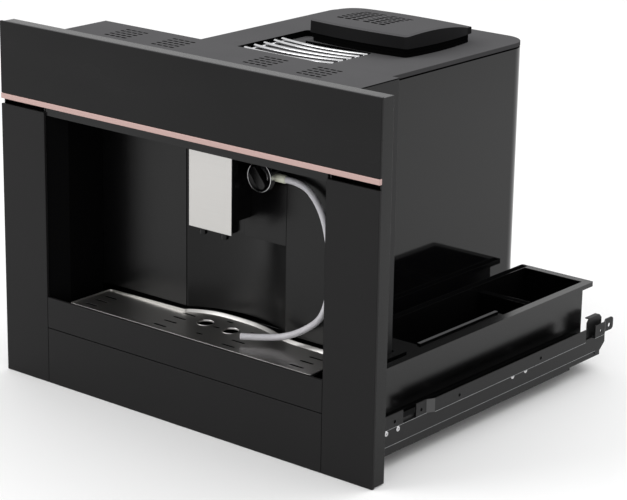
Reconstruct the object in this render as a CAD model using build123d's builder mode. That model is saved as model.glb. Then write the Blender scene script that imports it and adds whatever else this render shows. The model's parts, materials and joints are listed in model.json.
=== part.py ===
from build123d import *
import os
from math import radians, tan

# Built in coffee machine on telescopic slides, for a 450 mm high cabinet niche.
# Frame: the origin lies on the cabinet floor at the cabinet's front edge, centred in width.
# +X points right seen from the front, +Y to the rear, +Z up. Sizes are in millimetres.

os.makedirs("parts", exist_ok=True)

# ---------------------------------------------------------------- driving sizes
slip = 0.3  # gap between neighbours that slide past or seat on each other
running = 0.05  # radial clearance of a spindle in its bore
sheet = 1.5  # pressed steel sheet
wall = 2.0  # moulded plastic wall

fascia_w = 595.0
fascia_h = 455.0
fascia_drop = 18.0  # the fascia hangs this far below the cabinet floor
fascia_depth = 23.0  # its front stands this far before the cabinet edge
plate_t = 4.0  # front plates
plate_seam = 0.5
rim_inset = 1.0  # the frame's rim stands in from the plates' edges
side_plate_w = 75.0
control_h = 90.6
strip_h = 6.9
strip_proud = 0.6
shadow_h = 6.5  # dark gap below the strip
lower_h = 72.5
lower_seam = 1.0
tray_front_h = 40.0

housing_gap = 28.3  # from the front housing to the slides at both sides
housing_d = 95.0
housing_drop = 8.0  # its top lies this far below the fascia's
duct_w = 94.0
duct_h = 86.0
reveal = 18.5  # slanting reveal round the niche
lip_h = 10.0
lip_inset = 3.0
niche_d = 59.0  # back wall of the niche
bay_w = 157.0
bay_x = 19.5
bay_depth = 24.0
column_h = 123.0  # brew column above the cups
case_margin = 119.0  # control case inside the fascia
case_inset = 6.0

pan_z = 3.0
pan_end = 500.0
pan_flange = 28.0
base_end = 416.0
base_flange = 32.5
slide_t = 12.7
slide_h = 35.0
slide_z = 2.0
slide_start = 8.0
slide_len = 480.0
slide_web = 1.2
cabinet_clear_w = 560.0  # between the cabinet's side walls, which the brackets touch
joggle_depth = 5.0  # the bracket's long strip stands this far outboard of its web

bracket_z = 11.0
bracket_bend = 32.0
bracket_top = 49.0
bracket_start = 25.0
bracket_end = 513.0
bracket_hole_z = 39.0
bracket_hole_d = 4.4
through_hole_d = 6.0
through_hole_in = 9.0
rivet_z = 28.5
rivet_d = 3.0
rivet_bore = 1.5
rivet_head_d = 5.6
floor_hole_d = 4.5
floor_hole_dx = 460.0
floor_hole_dy = 340.0

body_left = -172.0
body_right = 136.0
body_end = 500.0
body_corner = 35.0
body_skin = 1.2
cover_drop = 40.0  # top of the cover below the fascia's top
cover_lip = 5.5
cover_neck = 6.5
recess_depth = 8.0
recess_left = -110.0
recess_right = 40.0
recess_front = 200.0
recess_end = 346.0
rail_d = 3.6
rail_bow = 9.0

hopper_left = -63.0
hopper_right = 87.0
hopper_front = 298.0
hopper_end = 431.0
hopper_bow = 6.0  # its four sides bulge
hopper_h = 14.0
hopper_corner = 6.0
hopper_wall = 2.5
throat_d = 50.0
throat_x = 4.0
throat_y = 362.0
funnel_h = 47.0
lid_over = 3.0
lid_skirt = 3.0
lid_skin = 3.0
lid_front_rise = 29.0  # the lid's top above the cover
lid_mid_rise = 33.0
lid_rear_rise = 19.0
lid_peak_share = 0.4  # of its depth from the front
dial_d = 24.0
dial_h = 11.0
dial_inset = 18.0

tray_gap = 17.0  # from the tray to the niche's inner sides
tray_rim_rise = 2.5  # its rim above the drawer front
tray_depth = 4.0
tray_straight_y = 54.0
tray_bulge = 20.0
tray_bulge_left = -57.0
tray_bulge_right = 92.0
basin_wall = 2.0
grounds_w = 140.0
grounds_len = 156.0
grounds_front = 77.0
grounds_drop = 1.0
grounds_corner = 4.0
slot_len = 24.0
slot_w = 2.5
well_d = 20.0

spout_x = 23.5
spout_w = 67.0
spout_front = 7.0
spout_plate_t = 1.5
spout_h = 99.0
spout_gap = 8.0  # below the niche's ceiling
spout_block_d = 12.5
carriage_w = 39.0
tongue_w = 16.0
tongue_d = 6.0
carriage_low = 2.5  # its two steps above the block's underside
carriage_high = 7.5
carriage_run = 13.0
nozzle_pitch = 34.0
nozzle_d = 10.0
nozzle_bore = 4.0
nozzle_h = 6.0
nozzle_ease = 1.2

knob_x = 74.0
knob_drop = 38.0  # below the niche's ceiling
knob_d = 37.0
knob_front = 36.0
knob_t = 8.0
ring_t = 1.4
grip_w = 8.0
grip_h = 5.0
valve_d = 20.0
spindle_d = 6.0
nipple_d = 6.0
nipple_y = 50.0
collar_d = 10.0
collar_start = 86.0
collar_end = 105.0
collar_ease = 0.8
hose_d = 8.0
hose_bore = 4.5

tub_gap = 17.0  # from the body
tub_over = 4.7  # its flange lies over the slide
tub_front = 97.0
tub_end = 478.0
tub_top = 102.0
tub_rim = 9.0
tub_lip = 6.0
tub_wall = 2.0
arm_w = 30.0
arm_front = 25.0
shelf_top = 93.0
shelf_end = 152.0
ledge_in = 39.0
ledge_end = 313.0
divider_y = 365.0
divider_t = 11.0
edge_w = 5.0  # bright bar on the ledge
edge_h = 2.5

tank_slide_gap = 5.3
tank_body_gap = 6.0
tank_front = 112.0
tank_end = 330.0
tank_top = 200.0
tank_wall = 2.5
tank_corner = 10.0
cradle_t = 3.0
cradle_rim = 2.5
cradle_rim_h = 8.0
tank_lid_t = 3.0

bench_z = 100.0
bench_end = 460.0
brew_w = 90.0
brew_d = 100.0
brew_h = 160.0
brew_front = 130.0
brew_body_h = 120.0
brew_head_d = 72.0
chamber_h = 96.0
puck_w = 60.0
boiler_x = -110.0
boiler_y = 190.0
boiler_d = 84.0
boiler_h = 150.0
motor_d = 64.0
motor_h = 130.0
motor_ease = 3.2
burr_d = 92.0
burr_mouth_h = 50.0
burr_cone_d = 40.0
burr_cone_h = 25.0
burr_taper = 20.0
pump_x = -110.0
pump_y = 380.0
pump_d = 44.0
pump_len = 90.0
pump_foot = 8.0
pump_foot_w = 24.0
pump_foot_len = 54.0
pump_foot_bite = 11.0

inlet_x = -120.0
inlet_z = 62.0
inlet_w = 33.0
inlet_h = 28.0
inlet_rim = 2.5
inlet_flange = 2.5
inlet_depth = 24.0
socket_w = 24.5
socket_h = 17.0
socket_depth = 16.0
pin_w = 2.0
pin_h = 4.0
pin_len = 11.0
pin_pitch = 7.0

bracket_tabs = ((25.0, 62.0), (87.0, 107.0))
bracket_strips = ((117.0, 441.0), (463.0, 485.0))
joggle_run = 10.0
wall_hole_rows = (166.0, 338.0, 476.0)
tab_hole_rows = (46.0, 97.0)
rivet_rows = (30.0, 52.0, 284.0, 312.0)

hook_start = 472.0
hook_w = 8.0
hook_h = 4.0
web_end = 494.0
tab_corner = 5.0
rivet_head_t = 1.2
stop_start = 455.0
stop_end = 489.0
stop_top = 58.0
stop_nose = 5.0
stop_t = 1.5
stop_w = 7.0
plate_ease = 0.5
housing_flange = 10.0
vent_groups = (-154.5, -77.0, 70.5, 149.0)
vent_rows = 5
vent_cols = 5
vent_len = 10.0
vent_w = 3.0
vent_pitch = 14.5
vent_row_pitch = 8.0
vent_stagger = 2.8
vent_y = 53.0
tail_gap = 3.0
tail_h = 10.0
spindle_len = 9.0
grip_angle = -49.0
slot_columns = (-165.0, -48.0, 62.0, 168.0)
slot_rows = (-6.0, 13.0, 31.0, 49.0)
short_slot_x = 8.0
short_slot_rows = (6.0, 37.0, 62.0)
drain_wells = ((-14.0, 40.0), (30.0, 37.0))
recess_corner = 6.0
funnel_d = 108.0
rail_bar_d = 4.4
rail_bite = 1.0
rail_left = -105.0
rail_right = 35.0
rail_left_rows = (215.0, 234.0, 253.0, 273.0, 288.0)
rail_right_rows = (220.0, 239.0, 256.0, 272.0, 289.0)
dial_scallops = 8
scallop_d = 4.8
boiler_foot = 8.0
boiler_foot_d = 67.0
boiler_dome = 18.0
tub_corner = 3.0

# ---------------------------------------------------------------- worked out sizes
fascia_top = fascia_h - fascia_drop
fascia_mid_z = fascia_top - fascia_h / 2
control_z = fascia_top - control_h
strip_z = control_z - strip_h
side_top = strip_z - shadow_h
niche_w = fascia_w - 2 * side_plate_w
lower_top = lower_h - fascia_drop
tray_front_z = lower_top + lower_seam
plate_back = -fascia_depth + plate_t
frame_front = plate_back + slip
frame_d = -frame_front
opening_w = niche_w + 2 * (wall + slip)
opening_z = lower_top - 2 * wall
opening_top = strip_z + slip
inner_w = niche_w - 2 * reveal
housing_top = fascia_top - housing_drop
shelf_top_z = lower_top + slip  # the shelf carries the drip tray over the lower panel
shelf_z = shelf_top_z - sheet
liner_z = shelf_top_z + slip
liner_end = niche_d - slip
pan_top = pan_z + sheet
cover_z = fascia_top - cover_drop
shell_top = cover_z - cover_lip - wall
neck_z = cover_z - cover_lip - cover_neck
recess_z = cover_z - recess_depth
wall_x = cabinet_clear_w / 2  # face of the cabinet wall
web_x = wall_x - joggle_depth - sheet  # outer face of the base plate's flange
slide_out = web_x - sheet
slide_x = slide_out - slide_t  # inboard face of the right slide
pan_w = 2 * slide_x
housing_w = 2 * (slide_x - housing_gap)
slide_mid_z = slide_z + slide_h / 2
slide_play = slide_web + slip
basin_z = shelf_top_z + slip
grounds_x = bay_x
bench_top = bench_z + sheet
bench_left = body_left + body_skin + slip
bench_right = body_right - body_skin - slip
tank_z = pan_top + cradle_t + slip
ceiling_z = side_top
column_z = ceiling_z - column_h
spout_top = ceiling_z - spout_gap
spout_z = spout_top - spout_h
nozzle_z = spout_z - nozzle_h
knob_z = ceiling_z - knob_drop
throat_z = cover_z - funnel_h
lid_front_z = cover_z + lid_front_rise
lid_mid_z = cover_z + lid_mid_rise
lid_rear_z = cover_z + lid_rear_rise
tray_w = inner_w - 2 * tray_gap
tray_rim_z = tray_front_z + tray_front_h + tray_rim_rise
tray_floor_z = tray_rim_z - tray_depth
tub_left = body_right + tub_gap
tub_right = slide_x + tub_over
arm_left = tub_right - arm_w
ledge_x = tub_right - ledge_in
tank_left = tank_slide_gap - slide_x
tank_right = body_left - tank_body_gap
lip_front = -fascia_depth + lip_inset
lip_drop = 4.0
liner_low = tray_rim_z + 2.0  # lower edge of the niche's back wall
strip_mid_z = (bracket_bend + bracket_top) / 2
strip_rise = bracket_top - bracket_bend


# ---------------------------------------------------------------- cabinet side
# A flanged floor plate, two joggled side brackets and the fixed slide members.
with BuildPart() as base_plate:
    with BuildSketch(Plane.XZ.offset(-slip)) as section:
        with Locations((0, base_flange / 2)):
            Rectangle(2 * web_x, base_flange)
        with Locations((0, base_flange / 2 + sheet)):
            Rectangle(2 * web_x - 2 * sheet, base_flange, mode=Mode.SUBTRACT)
    extrude(amount=-(base_end - slip))
    with BuildSketch(Plane.XY) as floor_holes:
        with Locations((0, base_end / 2)):
            with GridLocations(floor_hole_dx, floor_hole_dy, 2, 2):
                Circle(floor_hole_d / 2)
    extrude(amount=sheet, mode=Mode.SUBTRACT)
    with BuildSketch(Plane.YZ.offset(-web_x)) as rivet_holes:
        with Locations(*[(y, rivet_z) for y in rivet_rows]):
            Circle(rivet_d / 2)
    extrude(amount=2 * web_x, mode=Mode.SUBTRACT)


with BuildPart() as rail_bracket_right:
    # Web against the base plate's flange, with a hook at its rear lower corner.
    with BuildSketch(Plane.YZ.offset(web_x)) as web:
        with BuildLine():
            Polyline(
                (bracket_start, bracket_z),
                (hook_start, bracket_z),
                (hook_start, bracket_z - hook_h),
                (hook_start + hook_w, bracket_z - hook_h),
                (web_end, bracket_z + hook_w),
                (web_end, bracket_bend),
                (bracket_start, bracket_bend),
                close=True,
            )
        make_face()
        for low, high in bracket_tabs:
            with Locations(((low + high) / 2, strip_mid_z)):
                Rectangle(high - low, strip_rise)
    extrude(amount=sheet)
    # The long strip is joggled out to the cabinet wall. A shelf along the bend joins it to the web.
    with BuildSketch(Plane.YZ.offset(wall_x - sheet)) as strip:
        for low, high in bracket_strips:
            with Locations(((low + high) / 2, strip_mid_z)):
                Rectangle(high - low, strip_rise)
    extrude(amount=sheet)
    with BuildSketch(Plane.XY.offset(bracket_bend)) as bend_shelf:
        for low, high in bracket_strips:
            with Locations(((web_x + wall_x) / 2, (low + high) / 2)):
                Rectangle(wall_x - web_x, high - low)
    extrude(amount=sheet)
    # Slanting joggles lead from the second tab to the strip, and from the strip to the end tab.
    with BuildSketch(Plane.XY.offset(bracket_bend)) as joggles:
        front = bracket_strips[0][0]
        rear = bracket_strips[-1][1]
        with BuildLine():
            Polyline(
                (web_x, front - joggle_run),
                (web_x + sheet, front - joggle_run),
                (wall_x, front),
                (wall_x - sheet, front),
                close=True,
            )
        make_face()
        with BuildLine():
            Polyline(
                (wall_x - sheet, rear),
                (wall_x, rear),
                (web_x + sheet, rear + joggle_run),
                (web_x + sheet, bracket_end),
                (web_x, bracket_end),
                (web_x, rear + joggle_run),
                close=True,
            )
        make_face()
    extrude(amount=strip_rise)
    end_edges = rail_bracket_right.edges().filter_by(Axis.X).group_by(Axis.Y)[-1]
    fillet(end_edges, radius=tab_corner)
    with BuildSketch(Plane.YZ.offset(web_x)) as tab_holes:
        with Locations(*[(y, bracket_hole_z) for y in tab_hole_rows]):
            Circle(bracket_hole_d / 2)
        with Locations((bracket_end - through_hole_in, bracket_hole_z)):
            Circle(through_hole_d / 2)
        with Locations(*[(y, rivet_z) for y in rivet_rows]):
            Circle(rivet_d / 2)
    extrude(amount=sheet, mode=Mode.SUBTRACT)
    with BuildSketch(Plane.YZ.offset(wall_x - sheet)) as wall_holes:
        with Locations(*[(y, bracket_hole_z) for y in wall_hole_rows]):
            Circle(bracket_hole_d / 2)
    extrude(amount=sheet, mode=Mode.SUBTRACT)


def slide_member(web_face, height, depth, side):
    """One member of the right slide; its flanges point inboard (side -1) or outboard (side 1)."""
    with BuildPart() as member:
        with BuildSketch(Plane.XZ.offset(-slide_start)):
            with Locations((web_face + side * depth / 2, slide_mid_z)):
                Rectangle(depth, height)
            with Locations((web_face + side * (slide_web + depth / 2), slide_mid_z)):
                Rectangle(depth, height - 2 * slide_web, mode=Mode.SUBTRACT)
        extrude(amount=-slide_len)
    return member


# Three nested members a side: the outer one on the floor plate, the inner one on the machine.
nested_depth = slide_t - slide_play - slip
slide_outer_right = slide_member(slide_out, slide_h, slide_t - slide_play, -1)
slide_middle_right = slide_member(
    slide_out - slide_play, slide_h - 2 * slide_play, nested_depth - slide_play, -1
)
slide_inner_right = slide_member(slide_x, slide_h - 4 * slide_play, nested_depth - slide_play, 1)

# A bright stop plate stands on the rear end of the fixed member.
with BuildPart() as slide_stop_right:
    with BuildSketch(Plane.YZ.offset(slide_out - stop_t)) as stop_side:
        with BuildLine():
            Polyline(
                (stop_start, slide_z + slide_h),
                (stop_end, slide_z + slide_h),
                (stop_end, stop_top - stop_nose),
                (stop_end - stop_nose, stop_top),
                (stop_start + stop_nose, stop_top),
                (stop_start, stop_top - stop_nose),
                close=True,
            )
        make_face()
    extrude(amount=stop_t)
    with BuildSketch(Plane.XY.offset(stop_top - sheet)) as stop_cap:
        with Locations((slide_out - stop_w / 2, (stop_start + stop_end) / 2)):
            Rectangle(stop_w, stop_end - stop_start - 2 * stop_nose)
    extrude(amount=sheet)

# Tubular rivets hold each bracket to the floor plate's flange.
with BuildPart() as slide_rivets:
    with BuildSketch(Plane.YZ.offset(slide_out)) as shanks:
        with Locations(*[(y, rivet_z) for y in rivet_rows]):
            Circle(rivet_d / 2 - running)
    extrude(amount=2 * sheet)
    with BuildSketch(Plane.YZ.offset(web_x + sheet)) as heads:
        with Locations(*[(y, rivet_z) for y in rivet_rows]):
            Circle(rivet_head_d / 2)
            Circle(rivet_bore / 2, mode=Mode.SUBTRACT)
    extrude(amount=rivet_head_t)
    mirror(about=Plane.YZ)


def mirrored(piece):
    """The left-hand twin of a right-hand piece."""
    with BuildPart() as twin:
        add(mirror(piece.part, about=Plane.YZ, mode=Mode.PRIVATE))
    return twin


rail_bracket_left = mirrored(rail_bracket_right)
slide_outer_left = mirrored(slide_outer_right)
slide_middle_left = mirrored(slide_middle_right)
slide_inner_left = mirrored(slide_inner_right)
slide_stop_left = mirrored(slide_stop_right)

# ---------------------------------------------------------------- machine floor and fascia
# The floor pan hangs between the inner slide members.
with BuildPart() as chassis_pan:
    pan_mid = (pan_end + slip) / 2
    with BuildSketch(Plane.XY.offset(pan_z)) as pan_outline:
        with Locations((0, pan_mid)):
            Rectangle(pan_w, pan_end - slip)
    extrude(amount=pan_flange)
    with BuildSketch(Plane.XY.offset(pan_top)) as pan_inside:
        with Locations((0, pan_mid)):
            Rectangle(pan_w - 2 * sheet, pan_end)
    extrude(amount=pan_flange, mode=Mode.SUBTRACT)

# Steel frame behind the front plates: an outer rim, a rim round the niche and a back sheet.
with BuildPart() as front_frame:
    with BuildSketch(Plane.XZ) as frame_ring:
        with Locations((0, fascia_mid_z)):
            Rectangle(fascia_w - 2 * rim_inset, fascia_h - 2 * rim_inset)
        with Locations((0, (opening_z + opening_top) / 2)):
            Rectangle(opening_w, opening_top - opening_z, mode=Mode.SUBTRACT)
    extrude(amount=frame_d)
    with BuildSketch(Plane.XZ.offset(frame_d)) as frame_pocket:
        with Locations((0, fascia_mid_z)):
            Rectangle(fascia_w - 2 * rim_inset - 2 * wall, fascia_h - 2 * rim_inset - 2 * wall)
        with Locations((0, (opening_z + opening_top) / 2)):
            Rectangle(opening_w + 2 * wall, opening_top - opening_z + 2 * wall, mode=Mode.SUBTRACT)
    extrude(amount=-(frame_d - sheet), mode=Mode.SUBTRACT)


def front_plate(low_x, high_x, low_z, high_z, proud=0.0):
    """One flat plate of the fascia, with its front edges eased."""
    with BuildPart() as plate:
        with BuildSketch(Plane.XZ.offset(-plate_back)):
            with Locations(((low_x + high_x) / 2, (low_z + high_z) / 2)):
                Rectangle(high_x - low_x, high_z - low_z)
        extrude(amount=plate_t + proud)
        chamfer(plate.faces().sort_by(Axis.Y)[0].edges(), plate_ease)
    return plate


half_w = fascia_w / 2
half_niche = niche_w / 2
side_panel_right = front_plate(half_niche, half_w, -fascia_drop, side_top)
side_panel_left = front_plate(-half_w, -half_niche, -fascia_drop, side_top)
lower_panel = front_plate(-half_niche + plate_seam, half_niche - plate_seam, -fascia_drop, lower_top)
accent_strip = front_plate(-half_w, half_w, strip_z, control_z, strip_proud)
control_panel = front_plate(-half_w, half_w, control_z + slip, fascia_top)

# A shallow case behind the control panel holds its board.
with BuildPart() as control_case:
    with BuildSketch(Plane.XZ.offset(-frame_front)) as case_outline:
        with Locations((0, (control_z + fascia_top) / 2)):
            Rectangle(fascia_w - 2 * case_margin, control_h - 2 * case_inset)
    extrude(amount=-(frame_d - sheet))
    with BuildSketch(Plane.XZ.offset(-frame_front)) as case_inside:
        with Locations((0, (control_z + fascia_top) / 2)):
            Rectangle(fascia_w - 2 * (case_margin + wall), control_h - 2 * (case_inset + wall))
    extrude(amount=-(frame_d - sheet - wall), mode=Mode.SUBTRACT)

# ---------------------------------------------------------------- front housing and niche
# Sheet box behind the fascia, open at the front and below, with a shelf for the drip tray.
with BuildPart() as front_housing:
    half_house = housing_w / 2
    with BuildSketch(Plane.XY.offset(pan_top)) as housing_walls:
        with Locations((0, (housing_d + slip) / 2)):
            Rectangle(housing_w, housing_d - slip)
        with Locations((0, (housing_d + slip) / 2 - sheet)):
            Rectangle(housing_w - 2 * sheet, housing_d - slip, mode=Mode.SUBTRACT)
        for side in (-1, 1):
            with Locations((side * (half_house - housing_flange / 2), slip + sheet / 2)):
                Rectangle(housing_flange, sheet)
    extrude(amount=housing_top - sheet - pan_top)
    with BuildSketch(Plane.XY.offset(shelf_z)) as housing_shelf:
        with Locations((0, (housing_d + slip) / 2)):
            Rectangle(housing_w - sheet, housing_d - slip)
    extrude(amount=sheet)
    # The drip tray's tail and the brewing outlet pass through the rear wall.
    with BuildSketch(Plane.XZ.offset(-housing_d)) as housing_cuts:
        with Locations((grounds_x, (shelf_top_z + liner_low) / 2)):
            Rectangle(grounds_w + 2 * tail_gap, liner_low - shelf_top_z)
        with Locations((bay_x, (column_z + ceiling_z) / 2)):
            Rectangle(duct_w, duct_h)
    extrude(amount=sheet, mode=Mode.SUBTRACT)

# Top sheet with four groups of staggered slots.
with BuildPart() as bridge_plate:
    with BuildSketch(Plane.XY.offset(housing_top - sheet)) as bridge_outline:
        with Locations((0, (housing_d + slip) / 2)):
            Rectangle(housing_w, housing_d - slip)
    extrude(amount=sheet)
    with BuildSketch(Plane.XY.offset(housing_top)) as vents:
        for group_x in vent_groups:
            for row in range(vent_rows):
                step = row - (vent_rows - 1) / 2
                with Locations((group_x + step * vent_stagger, vent_y + step * vent_row_pitch)):
                    with GridLocations(vent_pitch, vent_row_pitch, vent_cols, 1):
                        Rectangle(vent_len, vent_w)
    extrude(amount=-sheet, mode=Mode.SUBTRACT)

# Side lining of the niche: a slanting reveal, then a straight wall back to the bay.
with BuildPart() as niche_side_right:
    with BuildSketch(Plane.XY.offset(liner_z)) as side_section:
        with BuildLine():
            Polyline(
                (half_niche, frame_front),
                (inner_w / 2, 0),
                (inner_w / 2, liner_end),
                (inner_w / 2 + wall, liner_end),
                (inner_w / 2 + wall, wall / 2),
                (half_niche + wall, frame_front + wall / 2),
                (half_niche + wall, frame_front),
                close=True,
            )
        make_face()
    extrude(amount=ceiling_z - slip - liner_z)
niche_side_left = mirrored(niche_side_right)

# Ceiling of the niche with the lip that hangs below the strip's shadow gap.
with BuildPart() as niche_ceiling:
    with BuildSketch(Plane.XY.offset(ceiling_z)) as ceiling_outline:
        with BuildLine():
            Polyline(
                (-half_niche, lip_front),
                (half_niche, lip_front),
                (half_niche, frame_front),
                (inner_w / 2, 0),
                (inner_w / 2, liner_end),
                (-inner_w / 2, liner_end),
                (-inner_w / 2, 0),
                (-half_niche, frame_front),
                close=True,
            )
        make_face()
    extrude(amount=wall)
    with BuildSketch(Plane.XZ.offset(-lip_front)) as lip:
        with Locations((0, ceiling_z + lip_h / 2 - lip_drop)):
            Rectangle(niche_w, lip_h)
    extrude(amount=lip_front - frame_front)

# Back wall of the niche: flat at both sides, hollowed to a cylinder in the middle bay.
with BuildPart() as niche_back:
    with BuildSketch(Plane.XY.offset(liner_low)) as back_section:
        with BuildLine():
            left = (bay_x - bay_w / 2, niche_d)
            apex = (bay_x, niche_d + bay_depth)
            right = (bay_x + bay_w / 2, niche_d)
            edge = inner_w / 2 + wall
            Line((-edge, niche_d), left)
            ThreePointArc(left, apex, right)
            Polyline(right, (edge, niche_d), (edge, niche_d + wall), (right[0] + wall, niche_d + wall))
            ThreePointArc(
                (right[0] + wall, niche_d + wall),
                (bay_x, niche_d + bay_depth + wall),
                (left[0] - wall, niche_d + wall),
            )
            Polyline((left[0] - wall, niche_d + wall), (-edge, niche_d + wall), (-edge, niche_d))
        make_face()
    extrude(amount=ceiling_z - slip - liner_low)

# Brew column: closes the upper part of the bay, flush with the wall, and guides the spout.
with BuildPart() as brew_column:
    with BuildSketch(Plane.XY.offset(column_z)) as column_section:
        half_bay = bay_w / 2 - plate_seam
        with BuildLine():
            Line((bay_x + half_bay, niche_d), (bay_x - half_bay, niche_d))
            ThreePointArc(
                (bay_x - half_bay, niche_d),
                (bay_x, niche_d + bay_depth - plate_seam),
                (bay_x + half_bay, niche_d),
            )
        make_face()
        with Locations((spout_x, niche_d + tongue_d / 2)):
            Rectangle(tongue_w + 2 * slip, tongue_d, mode=Mode.SUBTRACT)
    extrude(amount=ceiling_z - slip - column_z)

# ---------------------------------------------------------------- milk outlet
# The valve stands out of the column; its nipple carries the collar and the hose.
with BuildPart() as milk_valve:
    with BuildSketch(Plane.XZ.offset(-niche_d)) as valve_end:
        with Locations((knob_x, knob_z)):
            Circle(valve_d / 2)
    extrude(amount=niche_d - knob_front - knob_t - slip)
    with BuildSketch(Plane.YZ.offset(knob_x)) as nipple_root:
        with Locations((nipple_y, knob_z)):
            Circle(nipple_d / 2)
    extrude(amount=collar_end - slip - knob_x)
    with BuildSketch(Plane.XZ.offset(-knob_front - knob_t)) as valve_bore:
        with Locations((knob_x, knob_z)):
            Circle(spindle_d / 2 + running)
    extrude(amount=-spindle_len - slip, mode=Mode.SUBTRACT)

with BuildPart() as milk_collar:
    with BuildSketch(Plane.YZ.offset(collar_start)) as collar_ring:
        with Locations((nipple_y, knob_z)):
            Circle(collar_d / 2)
            Circle(nipple_d / 2 + running, mode=Mode.SUBTRACT)
    extrude(amount=collar_end - collar_start)
    chamfer(milk_collar.faces().sort_by(Axis.X)[-1].outer_wire().edges(), collar_ease)

# The hose bends over from the collar, hangs down and ends on the drip tray.
hose_lie_z = tray_rim_z + hose_d / 2 + 2 * slip
hose_hang = knob_z - tray_rim_z
hose_bends = (  # x, y and the share of the height it hangs
    (130, 50, 1.0),
    (153, 47.5, 0.9188),
    (169, 45, 0.7919),
    (178, 43, 0.5939),
    (178, 42, 0.3756),
    (168, 42, 0.2183),
    (145, 41, 0.1218),
    (117, 39, 0.0457),
)
hose_points = [
    (collar_end, nipple_y, knob_z),
    *[(x, y, tray_rim_z + hose_hang * share) for x, y, share in hose_bends],
    (92, 29, hose_lie_z),
    (67, 13, hose_lie_z),
]
arc_share = 0.45  # share of the shorter run that each arc takes


def arc_radii(points):
    """The largest tangent arc at each corner of a route."""
    route = [Vector(*point) for point in points]
    runs = [end - start for start, end in zip(route, route[1:])]
    return [
        arc_share * min(before.length, after.length) / tan(radians(before.get_angle(after) / 2))
        for before, after in zip(runs, runs[1:])
    ]


hose_radii = arc_radii(hose_points)
print("hose radii", [round(radius) for radius in hose_radii])
with BuildPart() as milk_hose:
    with BuildLine() as hose_route:
        FilletPolyline(*hose_points, radius=hose_radii)
    with BuildSketch(Plane.YZ.offset(collar_end)) as hose_section:
        with Locations((nipple_y, knob_z)):
            Circle(hose_d / 2)
            Circle(hose_bore / 2, mode=Mode.SUBTRACT)
    sweep(path=hose_route.wires()[0])
hose_length = hose_route.wires()[0].length
hose_area = hose_section.sketch.area
print("hose length", round(hose_length, 1), "volume ratio", milk_hose.part.volume / (hose_area * hose_length))

# ---------------------------------------------------------------- milk knob
with BuildPart() as milk_knob:
    with BuildSketch(Plane.XZ.offset(-knob_front - knob_t)) as knob_disc:
        with Locations((knob_x, knob_z)):
            Circle(knob_d / 2 - ring_t - running)
    extrude(amount=knob_t - ring_t / 2)
    with BuildSketch(Plane.XZ.offset(-knob_front - ring_t / 2)) as grip:
        with Locations(Location((knob_x, knob_z), grip_angle)):
            SlotOverall(knob_d - 4 * ring_t, grip_w)
    extrude(amount=grip_h)
    with BuildSketch(Plane.XZ.offset(-knob_front - knob_t)) as spindle:
        with Locations((knob_x, knob_z)):
            Circle(spindle_d / 2)
    extrude(amount=-spindle_len)

with BuildPart() as knob_ring:
    with BuildSketch(Plane.XZ.offset(-knob_front - knob_t)) as ring_section:
        with Locations((knob_x, knob_z)):
            Circle(knob_d / 2)
            Circle(knob_d / 2 - ring_t, mode=Mode.SUBTRACT)
    extrude(amount=knob_t)

# ---------------------------------------------------------------- coffee spout
with BuildPart() as spout_plate:
    with BuildSketch(Plane.XZ.offset(-spout_front - spout_plate_t)) as plate_face:
        with Locations((spout_x, (spout_z + spout_top) / 2)):
            Rectangle(spout_w, spout_top - spout_z)
    extrude(amount=spout_plate_t)

block_front = spout_front + spout_plate_t
block_rear = block_front + spout_block_d
block_z = spout_z + wall
with BuildPart() as spout_block:
    with BuildSketch(Plane.XY.offset(block_z)) as block_section:
        with Locations((spout_x, (block_front + block_rear) / 2)):
            Rectangle(spout_w - wall, spout_block_d)
    extrude(amount=spout_top - block_z)
    # The carriage behind it rises in two steps and rides on a tongue in the column's slot.
    with BuildSketch(Plane.YZ.offset(spout_x - carriage_w / 2)) as carriage_side:
        with BuildLine():
            Polyline(
                (block_rear, block_z + carriage_low),
                (block_rear + carriage_run, block_z + carriage_low),
                (block_rear + carriage_run, block_z + carriage_high),
                (liner_end, block_z + carriage_high),
                (liner_end, spout_top),
                (block_rear, spout_top),
                close=True,
            )
        make_face()
    extrude(amount=carriage_w)
    with BuildSketch(Plane.XY.offset(block_z + carriage_high)) as tongue:
        with Locations((spout_x, liner_end + tongue_d / 2)):
            Rectangle(tongue_w, tongue_d)
    extrude(amount=spout_top - block_z - carriage_high)

with BuildPart() as spout_nozzles:
    nozzle_y = (block_front + block_rear) / 2
    with BuildSketch(Plane.XY.offset(nozzle_z)) as nozzle_section:
        with Locations((spout_x, nozzle_y)):
            with GridLocations(nozzle_pitch, 0, 2, 1):
                Circle(nozzle_d / 2)
    extrude(amount=block_z - nozzle_z)
    chamfer(spout_nozzles.faces().group_by(Axis.Z)[0].edges(), nozzle_ease)
    with BuildSketch(Plane.XY.offset(nozzle_z)) as nozzle_bores:
        with Locations((spout_x, nozzle_y)):
            with GridLocations(nozzle_pitch, 0, 2, 1):
                Circle(nozzle_bore / 2)
    extrude(amount=block_z - nozzle_z, mode=Mode.SUBTRACT)

# ---------------------------------------------------------------- drip tray drawer
def tray_outline(inset=0.0):
    """Plan of the drip tray: straight sides, a bulged rear edge; inset shrinks it all round."""
    with BuildSketch() as outline:
        with BuildLine():
            Polyline(
                (tray_bulge_left, tray_straight_y),
                (-tray_w / 2, tray_straight_y),
                (-tray_w / 2, frame_front),
                (tray_w / 2, frame_front),
                (tray_w / 2, tray_straight_y),
                (tray_bulge_right, tray_straight_y),
            )
            ThreePointArc(
                (tray_bulge_right, tray_straight_y),
                ((tray_bulge_left + tray_bulge_right) / 2, tray_straight_y + tray_bulge),
                (tray_bulge_left, tray_straight_y),
            )
        make_face()
        if inset:
            offset(amount=-inset, kind=Kind.INTERSECTION, mode=Mode.REPLACE)
    return outline.sketch


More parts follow.
